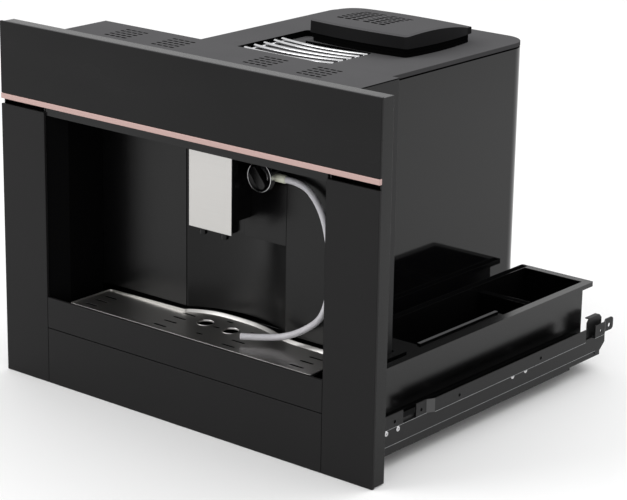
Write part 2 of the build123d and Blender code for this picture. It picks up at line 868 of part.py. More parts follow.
plate_z = tray_floor_z - sheet
with BuildPart() as tray_plate:
    with BuildSketch(Plane.XY.offset(plate_z)) as plate_outline:
        add(tray_outline())
    extrude(amount=tray_rim_z - plate_z)
    with BuildSketch(Plane.XY.offset(tray_floor_z)) as plate_inside:
        add(tray_outline(sheet))
    extrude(amount=tray_rim_z - tray_floor_z, mode=Mode.SUBTRACT)
    with BuildSketch(Plane.XY.offset(tray_floor_z)) as drain_slots:
        for slot_x in slot_columns:
            for slot_y in slot_rows:
                with Locations((slot_x, slot_y)):
                    Rectangle(slot_len, slot_w)
        for slot_y in short_slot_rows:
            with Locations((short_slot_x, slot_y)):
                Rectangle(slot_len / 2, slot_w)
        with Locations(*drain_wells):
            Circle(well_d / 2)
    extrude(amount=-sheet, mode=Mode.SUBTRACT)

tail_w = grounds_w + 2 * (slip + basin_wall)
tail_end = grounds_front + grounds_len + slip + basin_wall
with BuildPart() as tray_basin:
    with BuildSketch(Plane.XY.offset(basin_z)) as basin_outline:
        add(tray_outline())
    extrude(amount=plate_z - slip - basin_z)
    # A tail behind the basin carries the grounds container.
    with BuildSketch(Plane.XY.offset(basin_z)) as tail:
        with Locations((grounds_x, (tray_straight_y + tail_end) / 2)):
            Rectangle(tail_w, tail_end - tray_straight_y)
    extrude(amount=tail_h)
    with BuildSketch(Plane.XY.offset(basin_z + basin_wall)) as basin_inside:
        add(tray_outline(basin_wall))
    extrude(amount=plate_z, mode=Mode.SUBTRACT)
    with BuildSketch(Plane.XY.offset(basin_z + basin_wall)) as tail_inside:
        with Locations((grounds_x, grounds_front + grounds_len / 2)):
            Rectangle(grounds_w + 2 * slip, grounds_len + 2 * slip)
    extrude(amount=tail_h, mode=Mode.SUBTRACT)

grounds_z = basin_z + basin_wall + slip
with BuildPart() as grounds_container:
    with BuildSketch(Plane.XY.offset(grounds_z)) as grounds_outline:
        with Locations((grounds_x, grounds_front + grounds_len / 2)):
            RectangleRounded(grounds_w, grounds_len, grounds_corner)
    extrude(amount=tray_rim_z - grounds_drop - grounds_z)
    with BuildSketch(Plane.XY.offset(grounds_z + basin_wall)) as grounds_inside:
        with Locations((grounds_x, grounds_front + grounds_len / 2)):
            RectangleRounded(
                grounds_w - 2 * basin_wall, grounds_len - 2 * basin_wall, grounds_corner - basin_wall
            )
    extrude(amount=tray_rim_z, mode=Mode.SUBTRACT)

tray_front = front_plate(
    -half_niche + plate_seam, half_niche - plate_seam, tray_front_z, tray_front_z + tray_front_h
)

# ---------------------------------------------------------------- body behind the housing
def body_outline(inset=0.0):
    """Plan of the body: square at the housing, rounded at the rear corners."""
    with BuildSketch() as outline:
        low_x = body_left + inset
        high_x = body_right - inset
        low_y = housing_d + slip
        high_y = body_end - inset
        corner = body_corner - inset
        with BuildLine():
            Polyline((low_x, high_y - corner), (low_x, low_y), (high_x, low_y), (high_x, high_y - corner))
            RadiusArc((high_x, high_y - corner), (high_x - corner, high_y), -corner)
            Line((high_x - corner, high_y), (low_x + corner, high_y))
            RadiusArc((low_x + corner, high_y), (low_x, high_y - corner), -corner)
        make_face()
    return outline.sketch


with BuildPart() as body_shell:
    with BuildSketch(Plane.XY.offset(pan_top)) as shell_outline:
        add(body_outline())
    extrude(amount=shell_top - pan_top)
    with BuildSketch(Plane.XY.offset(pan_top)) as shell_inside:
        add(body_outline(body_skin))
    extrude(amount=shell_top, mode=Mode.SUBTRACT)
    with BuildSketch(Plane.XZ.offset(-body_end)) as inlet_hole:
        with Locations((inlet_x, inlet_z)):
            Rectangle(inlet_w - 2 * inlet_rim, inlet_h - 2 * inlet_rim)
    extrude(amount=body_skin, mode=Mode.SUBTRACT)


def recess_outline(grow=0.0):
    """Plan of the cup recess: a front field and a strip beside the bean hopper."""
    low_x = recess_left - grow
    high_x = recess_right + grow
    low_y = recess_front - grow
    field_end = hopper_front - hopper_bow - slip + grow
    strip_x = hopper_left - hopper_bow - lid_over + grow
    with BuildSketch() as outline:
        with BuildLine():
            Polyline(
                (low_x, low_y),
                (high_x, low_y),
                (high_x, field_end),
                (strip_x, field_end),
                (strip_x, recess_end + grow),
                (low_x, recess_end + grow),
                close=True,
            )
        make_face()
        fillet(outline.vertices(), recess_corner)
    return outline.sketch


with BuildPart() as top_cover:
    with BuildSketch(Plane.XY.offset(cover_z - cover_lip)) as cover_outline:
        add(body_outline())
    extrude(amount=cover_lip)
    with BuildSketch(Plane.XY.offset(neck_z)) as neck_outline:
        add(body_outline(body_skin + slip))
    extrude(amount=cover_neck)
    with BuildSketch(Plane.XY.offset(neck_z)) as cover_inside:
        add(body_outline(body_skin + slip + wall))
    extrude(amount=cover_neck + cover_lip - wall, mode=Mode.SUBTRACT)
    with BuildSketch(Plane.XY.offset(recess_z - wall)) as recess_pan:
        add(recess_outline(wall))
    extrude(amount=recess_depth)
    with BuildSketch(Plane.XY.offset(recess_z)) as recess:
        add(recess_outline())
    extrude(amount=recess_depth, mode=Mode.SUBTRACT)
    with BuildSketch(Plane.XY.offset(neck_z)) as funnel_hole:
        with Locations((throat_x, throat_y)):
            Circle(funnel_d / 2 + 2 * slip)
    extrude(amount=cover_z, mode=Mode.SUBTRACT)

# Five bowed rods for cups, on two cross bars that lie on the recess floor.
with BuildPart() as cup_rails:
    bar_z = recess_z + slip + rail_bar_d / 2
    rod_z = bar_z + (rail_bar_d + rail_d) / 2 - rail_bite
    for left_y, right_y in zip(rail_left_rows, rail_right_rows):
        with BuildLine() as rod_path:
            ThreePointArc(
                (rail_left, left_y, rod_z),
                ((rail_left + rail_right) / 2, (left_y + right_y) / 2 - rail_bow, rod_z),
                (rail_right, right_y, rod_z),
            )
        with BuildSketch(Plane(rod_path.line @ 0, z_dir=rod_path.line % 0)) as rod_section:
            Circle(rail_d / 2)
        sweep(path=rod_path.line)
    for bar_x in (rail_left + rail_bar_d, rail_right - rail_bar_d):
        bar_start = rail_left_rows[0] - rail_bar_d
        with BuildSketch(Plane.XZ.offset(-bar_start)) as bar_section:
            with Locations((bar_x, bar_z)):
                Circle(rail_bar_d / 2)
        extrude(amount=-(rail_right_rows[-1] + rail_d / 2 - bar_start))

# ---------------------------------------------------------------- bean hopper and lid
def hopper_outline(inset=0.0):
    """Plan of the bean hopper: a rectangle with bulging sides and round corners."""
    low_x = hopper_left + inset
    high_x = hopper_right - inset
    low_y = hopper_front + inset
    high_y = hopper_end - inset
    corners = [(low_x, low_y), (low_x, high_y), (high_x, high_y), (high_x, low_y)]
    with BuildSketch() as outline:
        with BuildLine():
            for start, end in zip(corners, corners[1:] + corners[:1]):
                SagittaArc(start, end, hopper_bow)
        make_face()
        fillet(outline.vertices(), hopper_corner - inset)
    return outline.sketch


hopper_z = cover_z + slip
hopper_floor = hopper_z + hopper_wall
hopper_top = hopper_z + hopper_h
dial_x = hopper_right - dial_inset
dial_y = hopper_front + dial_inset
with BuildPart() as bean_hopper:
    with BuildSketch(Plane.XY.offset(hopper_z)) as hopper_base:
        add(hopper_outline())
    extrude(amount=hopper_h)
    with BuildSketch(Plane.XY.offset(hopper_floor)) as hopper_inside:
        add(hopper_outline(hopper_wall))
    extrude(amount=hopper_h, mode=Mode.SUBTRACT)
    with BuildSketch(Plane.XY.offset(hopper_z)) as funnel_mouth:
        with Locations((throat_x, throat_y)):
            Circle(funnel_d / 2)
    with BuildSketch(Plane.XY.offset(throat_z)) as funnel_throat:
        with Locations((throat_x, throat_y)):
            Circle(throat_d / 2)
    loft()
    with BuildSketch(Plane.XY.offset(hopper_floor)) as bean_mouth:
        with Locations((throat_x, throat_y)):
            Circle(funnel_d / 2 - hopper_wall)
    with BuildSketch(Plane.XY.offset(throat_z)) as bean_throat:
        with Locations((throat_x, throat_y)):
            Circle(throat_d / 2 - hopper_wall)
    loft(mode=Mode.SUBTRACT)
    with BuildSketch(Plane.XY.offset(hopper_z)) as dial_bore:
        with Locations((dial_x, dial_y)):
            Circle(spindle_d / 2 + running)
    extrude(amount=hopper_wall, mode=Mode.SUBTRACT)

with BuildPart() as grind_dial:
    with BuildSketch(Plane.XY.offset(hopper_floor + slip)) as dial_face:
        with Locations((dial_x, dial_y)):
            Circle(dial_d / 2)
    extrude(amount=dial_h)
    with BuildSketch(Plane.XY.offset(hopper_floor + slip + dial_h)) as dial_finger:
        with Locations((dial_x, dial_y)):
            with PolarLocations(dial_d / 2, dial_scallops):
                Circle(scallop_d / 2)
    extrude(amount=-dial_h, mode=Mode.SUBTRACT)
    with BuildSketch(Plane.XY.offset(hopper_z)) as dial_spindle:
        with Locations((dial_x, dial_y)):
            Circle(spindle_d / 2)
    extrude(amount=hopper_wall + 2 * slip)


def lid_side(drop=0.0):
    """Side view of the lid's crowned top, falling to the rear; drop lowers it."""
    low_y = hopper_front - hopper_bow - lid_over
    high_y = hopper_end + hopper_bow + lid_over
    with BuildSketch(Plane.YZ.offset(hopper_left - 2 * lid_over)) as outline:
        with BuildLine():
            ThreePointArc(
                (low_y, lid_front_z - drop),
                (low_y + (high_y - low_y) * lid_peak_share, lid_mid_z - drop),
                (high_y, lid_rear_z - drop),
            )
            Polyline(
                (high_y, lid_rear_z - drop),
                (high_y, cover_z),
                (low_y, cover_z),
                (low_y, lid_front_z - drop),
            )
        make_face()
    return outline.sketch


lid_z = hopper_top + slip - lid_skirt
lid_span = hopper_right - hopper_left + 4 * lid_over
with BuildPart() as lid_hollow:
    with BuildSketch(Plane.XY.offset(cover_z)) as hollow_outline:
        add(hopper_outline(hopper_wall + slip))
    extrude(amount=lid_mid_z - cover_z)
    add(extrude(lid_side(lid_skin), amount=lid_span, mode=Mode.PRIVATE), mode=Mode.INTERSECT)

with BuildPart() as hopper_lid:
    with BuildSketch(Plane.XY.offset(lid_z)) as lid_outline:
        add(hopper_outline(-lid_over))
    extrude(amount=lid_mid_z - lid_z)
    add(extrude(lid_side(), amount=lid_span, mode=Mode.PRIVATE), mode=Mode.INTERSECT)
    add(lid_hollow.part, mode=Mode.SUBTRACT)
    with BuildSketch(Plane.XY.offset(lid_z)) as skirt_inside:
        add(hopper_outline(-lid_over + wall))
    extrude(amount=lid_skirt, mode=Mode.SUBTRACT)

# ---------------------------------------------------------------- machinery on the inner bench
bench_mid_x = (bench_left + bench_right) / 2
bench_w = bench_right - bench_left
bench_front = housing_d + 2 * slip
with BuildPart() as inner_bench:
    with BuildSketch(Plane.XZ.offset(-bench_front)) as bench_section:
        with Locations((bench_mid_x, (pan_top + bench_top) / 2)):
            Rectangle(bench_w, bench_top - pan_top)
        with Locations((bench_mid_x, (pan_top + bench_top) / 2 - sheet)):
            Rectangle(bench_w - 2 * sheet, bench_top - pan_top, mode=Mode.SUBTRACT)
    extrude(amount=-(bench_end - bench_front))
    with BuildSketch(Plane.XY.offset(bench_z)) as puck_hole:
        with Locations((bay_x, brew_front + brew_d / 2)):
            Rectangle(puck_w, puck_w)
    extrude(amount=sheet, mode=Mode.SUBTRACT)

# Brew group: a block with the brewing chamber, open below over the grounds container.
with BuildPart() as brew_group:
    with BuildSketch(Plane.XY.offset(bench_top)) as brew_base:
        with Locations((bay_x, brew_front + brew_d / 2)):
            RectangleRounded(brew_w, brew_d, 4 * wall)
    extrude(amount=brew_body_h)
    with BuildSketch(Plane.XY.offset(bench_top + brew_body_h)) as brew_head:
        with Locations((bay_x, brew_front + brew_d / 2)):
            Circle(brew_head_d / 2)
    extrude(amount=brew_h - brew_body_h)
    with BuildSketch(Plane.XY.offset(bench_top)) as chamber:
        with Locations((bay_x, brew_front + brew_d / 2)):
            Circle(puck_w / 2)
    extrude(amount=chamber_h, mode=Mode.SUBTRACT)

with BuildPart() as boiler:
    with BuildSketch(Plane.XY.offset(bench_top)) as boiler_base:
        with Locations((boiler_x, boiler_y)):
            Circle(boiler_foot_d / 2)
    extrude(amount=boiler_foot)
    with BuildSketch(Plane.XY.offset(bench_top + boiler_foot)) as boiler_drum:
        with Locations((boiler_x, boiler_y)):
            Circle(boiler_d / 2)
    extrude(amount=boiler_h - boiler_foot)
    fillet(boiler.edges().group_by(Axis.Z)[-1], boiler_dome)

with BuildPart() as grinder_motor:
    with BuildSketch(Plane.XY.offset(bench_top)) as motor_outline:
        with Locations((throat_x, throat_y)):
            Circle(motor_d / 2)
    extrude(amount=motor_h)
    chamfer(grinder_motor.faces().sort_by(Axis.Z)[-1].edges(), motor_ease)

with BuildPart() as burr_housing:
    with BuildSketch(Plane.XY.offset(bench_top + motor_h)) as burr_outline:
        with Locations((throat_x, throat_y)):
            Circle(burr_d / 2)
    extrude(amount=throat_z - slip - bench_top - motor_h)
    with BuildSketch(Plane.XY.offset(throat_z - slip)) as burr_mouth:
        with Locations((throat_x, throat_y)):
            Circle(throat_d / 2)
    extrude(amount=-burr_mouth_h, mode=Mode.SUBTRACT)
    with BuildSketch(Plane.XY.offset(throat_z - slip - burr_mouth_h)) as cone_burr:
        with Locations((throat_x, throat_y)):
            Circle(burr_cone_d / 2)
    extrude(amount=burr_cone_h, taper=burr_taper)

with BuildPart() as pump:
    pump_mid_z = bench_top + pump_foot + pump_d / 2
    with BuildSketch(Plane.XZ.offset(-(pump_y - pump_len / 2))) as pump_section:
        with Locations((pump_x, pump_mid_z)):
            Circle(pump_d / 2)
    extrude(amount=-pump_len)
    with BuildSketch(Plane.XY.offset(bench_top)) as pump_base:
        with Locations((pump_x, pump_y)):
            Rectangle(pump_foot_w, pump_foot_len)
    extrude(amount=pump_foot + pump_foot_bite)

# Appliance inlet in the rear wall, with its socket and three contact pins.
with BuildPart() as power_inlet:
    with BuildSketch(Plane.XZ.offset(-body_end)) as inlet_flange_face:
        with Locations((inlet_x, inlet_z)):
            RectangleRounded(inlet_w, inlet_h, inlet_rim)
    extrude(amount=-inlet_flange)
    with BuildSketch(Plane.XZ.offset(-body_end)) as inlet_body:
        with Locations((inlet_x, inlet_z)):
            Rectangle(inlet_w - 2 * (inlet_rim + slip), inlet_h - 2 * (inlet_rim + slip))
    extrude(amount=inlet_depth)
    with BuildSketch(Plane.XZ.offset(-body_end - inlet_flange)) as socket:
        with Locations((inlet_x, inlet_z)):
            Rectangle(socket_w, socket_h)
    extrude(amount=socket_depth, mode=Mode.SUBTRACT)
    with BuildSketch(Plane.XZ.offset(-body_end - inlet_flange + socket_depth)) as pins:
        with Locations((inlet_x - pin_pitch, inlet_z - pin_h / 2), (inlet_x + pin_pitch, inlet_z - pin_h / 2)):
            Rectangle(pin_w, pin_h)
        with Locations((inlet_x, inlet_z + pin_h / 2)):
            Rectangle(pin_w, pin_h)
    extrude(amount=-pin_len)

# ---------------------------------------------------------------- water tank
tank_mid = ((tank_left + tank_right) / 2, (tank_front + tank_end) / 2)
tank_w = tank_right - tank_left
tank_d = tank_end - tank_front
with BuildPart() as tank_cradle:
    cradle_grow = 2 * (slip + cradle_rim)
    with BuildSketch(Plane.XY.offset(pan_top)) as cradle_outline:
        with Locations(tank_mid):
            RectangleRounded(tank_w + cradle_grow, tank_d + cradle_grow, tank_corner + cradle_grow / 2)
    extrude(amount=cradle_rim_h)
    with BuildSketch(Plane.XY.offset(pan_top + cradle_t)) as cradle_inside:
        with Locations(tank_mid):
            RectangleRounded(tank_w + 2 * slip, tank_d + 2 * slip, tank_corner + slip)
    extrude(amount=cradle_rim_h, mode=Mode.SUBTRACT)

with BuildPart() as water_tank:
    with BuildSketch(Plane.XY.offset(tank_z)) as tank_outline:
        with Locations(tank_mid):
            RectangleRounded(tank_w, tank_d, tank_corner)
    extrude(amount=tank_top - tank_z)
    with BuildSketch(Plane.XY.offset(tank_z + tank_wall)) as tank_inside:
        with Locations(tank_mid):
            RectangleRounded(tank_w - 2 * tank_wall, tank_d - 2 * tank_wall, tank_corner - tank_wall)
    extrude(amount=tank_top, mode=Mode.SUBTRACT)

with BuildPart() as tank_lid:
    with BuildSketch(Plane.XY.offset(tank_top)) as tank_lid_outline:
        with Locations(tank_mid):
            RectangleRounded(tank_w, tank_d, tank_corner)
    extrude(amount=tank_lid_t)
    with BuildSketch(Plane.XY.offset(tank_top)) as tank_lid_lip:
        lip_in = tank_wall + slip
        with Locations(tank_mid):
            RectangleRounded(tank_w - 2 * lip_in, tank_d - 2 * lip_in, tank_corner - lip_in)
            RectangleRounded(
                tank_w - 2 * lip_in - 2 * wall,
                tank_d - 2 * lip_in - 2 * wall,
                tank_corner - lip_in - wall,
                mode=Mode.SUBTRACT,
            )
    extrude(amount=-tank_lid_t)

# ---------------------------------------------------------------- storage tub
def tub_plan(inset):
    """Plan of the storage tub: a long basin and a narrow arm beside the front housing."""
    with BuildSketch() as outline:
        with Locations(((tub_left + tub_right) / 2, (tub_front + tub_end) / 2)):
            Rectangle(tub_right - tub_left - 2 * inset, tub_end - tub_front - 2 * inset)
        with Locations(((arm_left + tub_right) / 2, (arm_front + tub_front) / 2 + inset)):
            Rectangle(tub_right - arm_left - 2 * inset, tub_front - arm_front)
        fillet(outline.vertices(), tub_corner)
    return outline.sketch


tub_in = tub_rim + tub_wall
tub_z = pan_top + slip
inner_left = tub_left + tub_in
inner_right = tub_right - tub_in
with BuildPart() as storage_tub:
    with BuildSketch(Plane.XY.offset(tub_top - tub_lip)) as tub_rim_outline:
        add(tub_plan(0))
    extrude(amount=tub_lip)
    with BuildSketch(Plane.XY.offset(tub_top - tub_lip)) as rim_hollow:
        add(tub_plan(tub_wall))
    extrude(amount=tub_lip - tub_wall, mode=Mode.SUBTRACT)
    with BuildSketch(Plane.XY.offset(tub_z)) as tub_walls:
        add(tub_plan(tub_rim))
    extrude(amount=tub_top - tub_z)
    # Shallow field over the shelf, the ledge and the arm.
    with BuildSketch(Plane.XY.offset(shelf_top)) as shallow:
        add(tub_plan(tub_in))
    extrude(amount=tub_top, mode=Mode.SUBTRACT)
    # Deep wells before and behind the divider, the front one narrowed by the ledge.
    with BuildSketch(Plane.XY.offset(tub_z + tub_wall)) as wells:
        with Locations(((inner_left + ledge_x) / 2, (shelf_end + divider_y) / 2)):
            Rectangle(ledge_x - inner_left, divider_y - shelf_end)
        with Locations(((inner_left + inner_right) / 2, (ledge_end + divider_y) / 2)):
            Rectangle(inner_right - inner_left, divider_y - ledge_end)
        with Locations(((inner_left + inner_right) / 2, (divider_y + divider_t + tub_end - tub_in) / 2)):
            Rectangle(inner_right - inner_left, tub_end - tub_in - divider_y - divider_t)
    extrude(amount=tub_top, mode=Mode.SUBTRACT)
    # The arm, the shelf, the ledge and the divider are hollow from below.
    with BuildSketch(Plane.XY.offset(tub_z)) as hollows:
        with Locations(((arm_left + tub_in + inner_right) / 2, (arm_front + tub_in + tub_front + tub_rim) / 2)):
            Rectangle(inner_right - arm_left - tub_in, tub_front - arm_front - tub_wall)
        with Locations(((inner_left + inner_right) / 2, (tub_front + tub_in + shelf_end) / 2 - tub_wall / 2)):
            Rectangle(inner_right - inner_left, shelf_end - tub_front - tub_in - tub_wall)
        with Locations(((ledge_x + inner_right) / 2 + tub_wall / 2, (shelf_end + ledge_end) / 2)):
            Rectangle(inner_right - ledge_x - tub_wall, ledge_end - shelf_end - 2 * tub_wall)
        with Locations(((inner_left + inner_right) / 2, divider_y + divider_t / 2)):
            Rectangle(inner_right - inner_left, divider_t - 2 * tub_wall)
    extrude(amount=shelf_top - tub_wall - tub_z, mode=Mode.SUBTRACT)

with BuildPart() as tub_edge_bar:
    with BuildSketch(Plane.XY.offset(shelf_top)) as bar_outline:
        with Locations((ledge_x + edge_w / 2, (shelf_end + ledge_end) / 2)):
            Rectangle(edge_w, ledge_end - shelf_end)
    extrude(amount=edge_h)

# ---------------------------------------------------------------- labels and files
pieces = {
    "base_plate": base_plate,
    "rail_bracket_right": rail_bracket_right,
    "rail_bracket_left": rail_bracket_left,
    "slide_outer_right": slide_outer_right,
    "slide_outer_left": slide_outer_left,
    "slide_middle_right": slide_middle_right,
    "slide_middle_left": slide_middle_left,
    "slide_inner_right": slide_inner_right,
    "slide_inner_left": slide_inner_left,
    "slide_stop_right": slide_stop_right,
    "slide_stop_left": slide_stop_left,
    "slide_rivets": slide_rivets,
    "chassis_pan": chassis_pan,
    "front_frame": front_frame,
    "side_panel_right": side_panel_right,
    "side_panel_left": side_panel_left,
    "lower_panel": lower_panel,
    "accent_strip": accent_strip,
    "control_panel": control_panel,
    "control_case": control_case,
    "front_housing": front_housing,
    "bridge_plate": bridge_plate,
    "niche_side_right": niche_side_right,
    "niche_side_left": niche_side_left,
    "niche_ceiling": niche_ceiling,
    "niche_back": niche_back,
    "brew_column": brew_column,
    "milk_valve": milk_valve,
    "milk_collar": milk_collar,
    "milk_hose": milk_hose,
    "milk_knob": milk_knob,
    "knob_ring": knob_ring,
    "spout_plate": spout_plate,
    "spout_block": spout_block,
    "spout_nozzles": spout_nozzles,
    "tray_plate": tray_plate,
    "tray_basin": tray_basin,
    "grounds_container": grounds_container,
    "tray_front": tray_front,
    "body_shell": body_shell,
    "top_cover": top_cover,
    "cup_rails": cup_rails,
    "bean_hopper": bean_hopper,
    "grind_dial": grind_dial,
    "hopper_lid": hopper_lid,
    "inner_bench": inner_bench,
    "brew_group": brew_group,
    "boiler": boiler,
    "grinder_motor": grinder_motor,
    "burr_housing": burr_housing,
    "pump": pump,
    "power_inlet": power_inlet,
    "tank_cradle": tank_cradle,
    "water_tank": water_tank,
    "tank_lid": tank_lid,
    "storage_tub": storage_tub,
    "tub_edge_bar": tub_edge_bar,
}
for label, piece in pieces.items():
    piece.part.label = label
    export_step(piece.part, f"parts/{label}.step")
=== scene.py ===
"""Finished surfaces of a built in coffee machine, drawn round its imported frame."""

import json
import math

import bmesh
import bpy
from mathutils import Matrix, Vector

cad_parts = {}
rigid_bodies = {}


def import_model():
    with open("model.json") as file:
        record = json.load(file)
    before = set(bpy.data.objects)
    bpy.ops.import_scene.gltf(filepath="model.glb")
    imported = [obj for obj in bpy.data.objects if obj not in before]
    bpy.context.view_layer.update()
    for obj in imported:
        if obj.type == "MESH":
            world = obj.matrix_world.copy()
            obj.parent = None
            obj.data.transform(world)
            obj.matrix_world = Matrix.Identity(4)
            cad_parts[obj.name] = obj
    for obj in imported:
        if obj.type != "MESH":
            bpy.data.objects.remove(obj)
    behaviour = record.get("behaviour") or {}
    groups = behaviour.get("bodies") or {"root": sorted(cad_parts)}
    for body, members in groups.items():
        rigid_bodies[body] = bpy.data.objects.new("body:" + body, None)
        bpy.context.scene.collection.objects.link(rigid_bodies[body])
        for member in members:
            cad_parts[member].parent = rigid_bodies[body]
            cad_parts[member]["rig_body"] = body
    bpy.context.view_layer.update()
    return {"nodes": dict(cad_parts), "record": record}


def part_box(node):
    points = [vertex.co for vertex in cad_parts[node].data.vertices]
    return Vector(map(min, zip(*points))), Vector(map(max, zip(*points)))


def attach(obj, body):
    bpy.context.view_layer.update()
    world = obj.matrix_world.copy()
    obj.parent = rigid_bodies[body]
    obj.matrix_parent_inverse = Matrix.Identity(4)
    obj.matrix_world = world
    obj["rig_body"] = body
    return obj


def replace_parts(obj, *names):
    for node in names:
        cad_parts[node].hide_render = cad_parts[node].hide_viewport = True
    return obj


bl_info = {
    "name": "Built in coffee machine",
    "version": (1, 0, 0),
    "blender": (4, 5, 0),
    "location": "3D Viewport > Sidebar > Coffee",
    "description": "Finished surfaces of a built in coffee machine on slides",
    "category": "Add Mesh",
}

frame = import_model()

MM = 0.001
UP = Vector((0, 0, 1))
FRONT = Vector((0, -1, 0))
RIGHT = Vector((1, 0, 0))
# Painted light: this face attribute holds the share of a pale colour painted on a face
# where light falls on it.
PAINTED_LIGHT_ATTRIBUTE = "tone"  # name of the face attribute that the finishes read
NODE_SLOT = {
    part["node"]: part["material_slot"] for part in frame["record"]["subparts"]
}

# Places and sizes below are in millimetres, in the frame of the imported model.
HOSE_ROUTE = (
    (105, 50, 295), (130, 50, 295), (153, 47.5, 279), (169, 45, 254),
    (178, 43, 215), (178, 42, 172), (168, 42, 141), (145, 41, 122),
    (117, 39, 107), (92, 29, 102.6), (67, 13, 102.6),
)
VENT_GROUPS = (-157.0, -79.0, 66.5, 147.0)
VENT_PITCH = 9.5
VENT_Y = 55.0
VENT_COLUMNS = (-1.5, -0.5, 0.5, 1.5)  # in pitches from the middle of a group
VENT_ROWS = range(-2, 3)
DRAIN_COLUMNS = (-165.0, -48.0, 62.0, 168.0)
DRAIN_ROWS = (-3.0, 15.0, 32.0, 49.5)
SHORT_DRAINS = ((8.0, 6.0), (8.0, 37.0), (8.0, 62.0))
DRAIN_WELLS = ((-12.5, 40.0), (30.0, 38.0))
ROD_LEFT_ROWS = (215.0, 234.0, 253.0, 273.0, 288.0)
ROD_RIGHT_ROWS = (220.0, 239.0, 256.0, 272.0, 289.0)

SLOT_END = 0.49  # corner radius of a slot's end, against its width
OWN_PULL = 0.01  # weight of a corner's own face beside those round it


# ---- sizes and colours
def mm_size(name, description, default):
    """A length setting, with its default in millimetres."""
    return bpy.props.FloatProperty(
        name=name, description=description, default=default * MM, unit="LENGTH"
    )


def tint(name, description, *default):
    """A colour setting."""
    return bpy.props.FloatVectorProperty(
        name=name, description=description, subtype="COLOR", default=default
    )


class CoffeeSizes(bpy.types.PropertyGroup):
    """Sizes of the finished edges and of the hose."""

    plate_edge: mm_size("Plate edge", "Radius of the edges of the front plates", 0.6)
    sheet_edge: mm_size("Sheet edge", "Radius of the edges of folded sheet steel", 0.4)
    moulded_edge: mm_size("Moulded edge", "Radius of the edges of mouldings", 0.7)
    body_corner: mm_size("Body corner", "Radius of the body's two rear corners", 35)
    tray_rim: mm_size("Tray rim", "Width of the drip tray's sloping rim", 1.3)
    hose_diameter: mm_size("Hose diameter", "Outside diameter of the milk hose", 8)
    hose_bore: mm_size("Hose bore", "Inside diameter of the milk hose", 4.5)
    hose_length: mm_size("Hose length", "Real length of the milk hose", 315)


class CoffeeColours(bpy.types.PropertyGroup):
    """Colours of the main finishes."""

    panel: tint("Front plates", "Lacquer of the front plates", 0.0097, 0.0095, 0.0097)
    strip: tint("Accent strip", "Anodised strip below the panel", 0.48, 0.335, 0.31)
    moulding: tint("Mouldings", "Black plastic mouldings", 0.0022, 0.0022, 0.0023)
    # Painted light: the grey painted as light on the tops of the cover, the lid and the
    # other pieces with tone.
    cover: tint("Cover", "Tops of the cover and of the lid", 0.098, 0.097, 0.1)
    steel: tint("Bright steel", "Brushed stainless steel", 0.50, 0.49, 0.475)
    hose: tint("Hose", "Silicone of the milk hose", 0.62, 0.61, 0.64)


def sizes():
    """The size settings of the scene."""
    return bpy.context.scene.coffee_sizes


def colours():
    """The colour settings of the scene."""
    return bpy.context.scene.coffee_colours


# ---- finishes
class Value:
    """A socket that can be used in shader maths."""

    def __init__(self, finish, socket):
        self.finish = finish
        self.socket = socket

    def _maths(self, operation, first, second):
        return self.finish.node(
            "ShaderNodeMath", {"operation": operation}, {0: first, 1: second}
        )

    def __add__(self, other):
        return self._maths("ADD", self, other)

    def __sub__(self, other):
        return self._maths("SUBTRACT", self, other)

    def __rsub__(self, other):
        return self._maths("SUBTRACT", other, self)

    def __mul__(self, other):
        return self._maths("MULTIPLY", self, other)

    def __pow__(self, other):
        return self._maths("POWER", self, other)

    __radd__ = __add__
    __rmul__ = __mul__


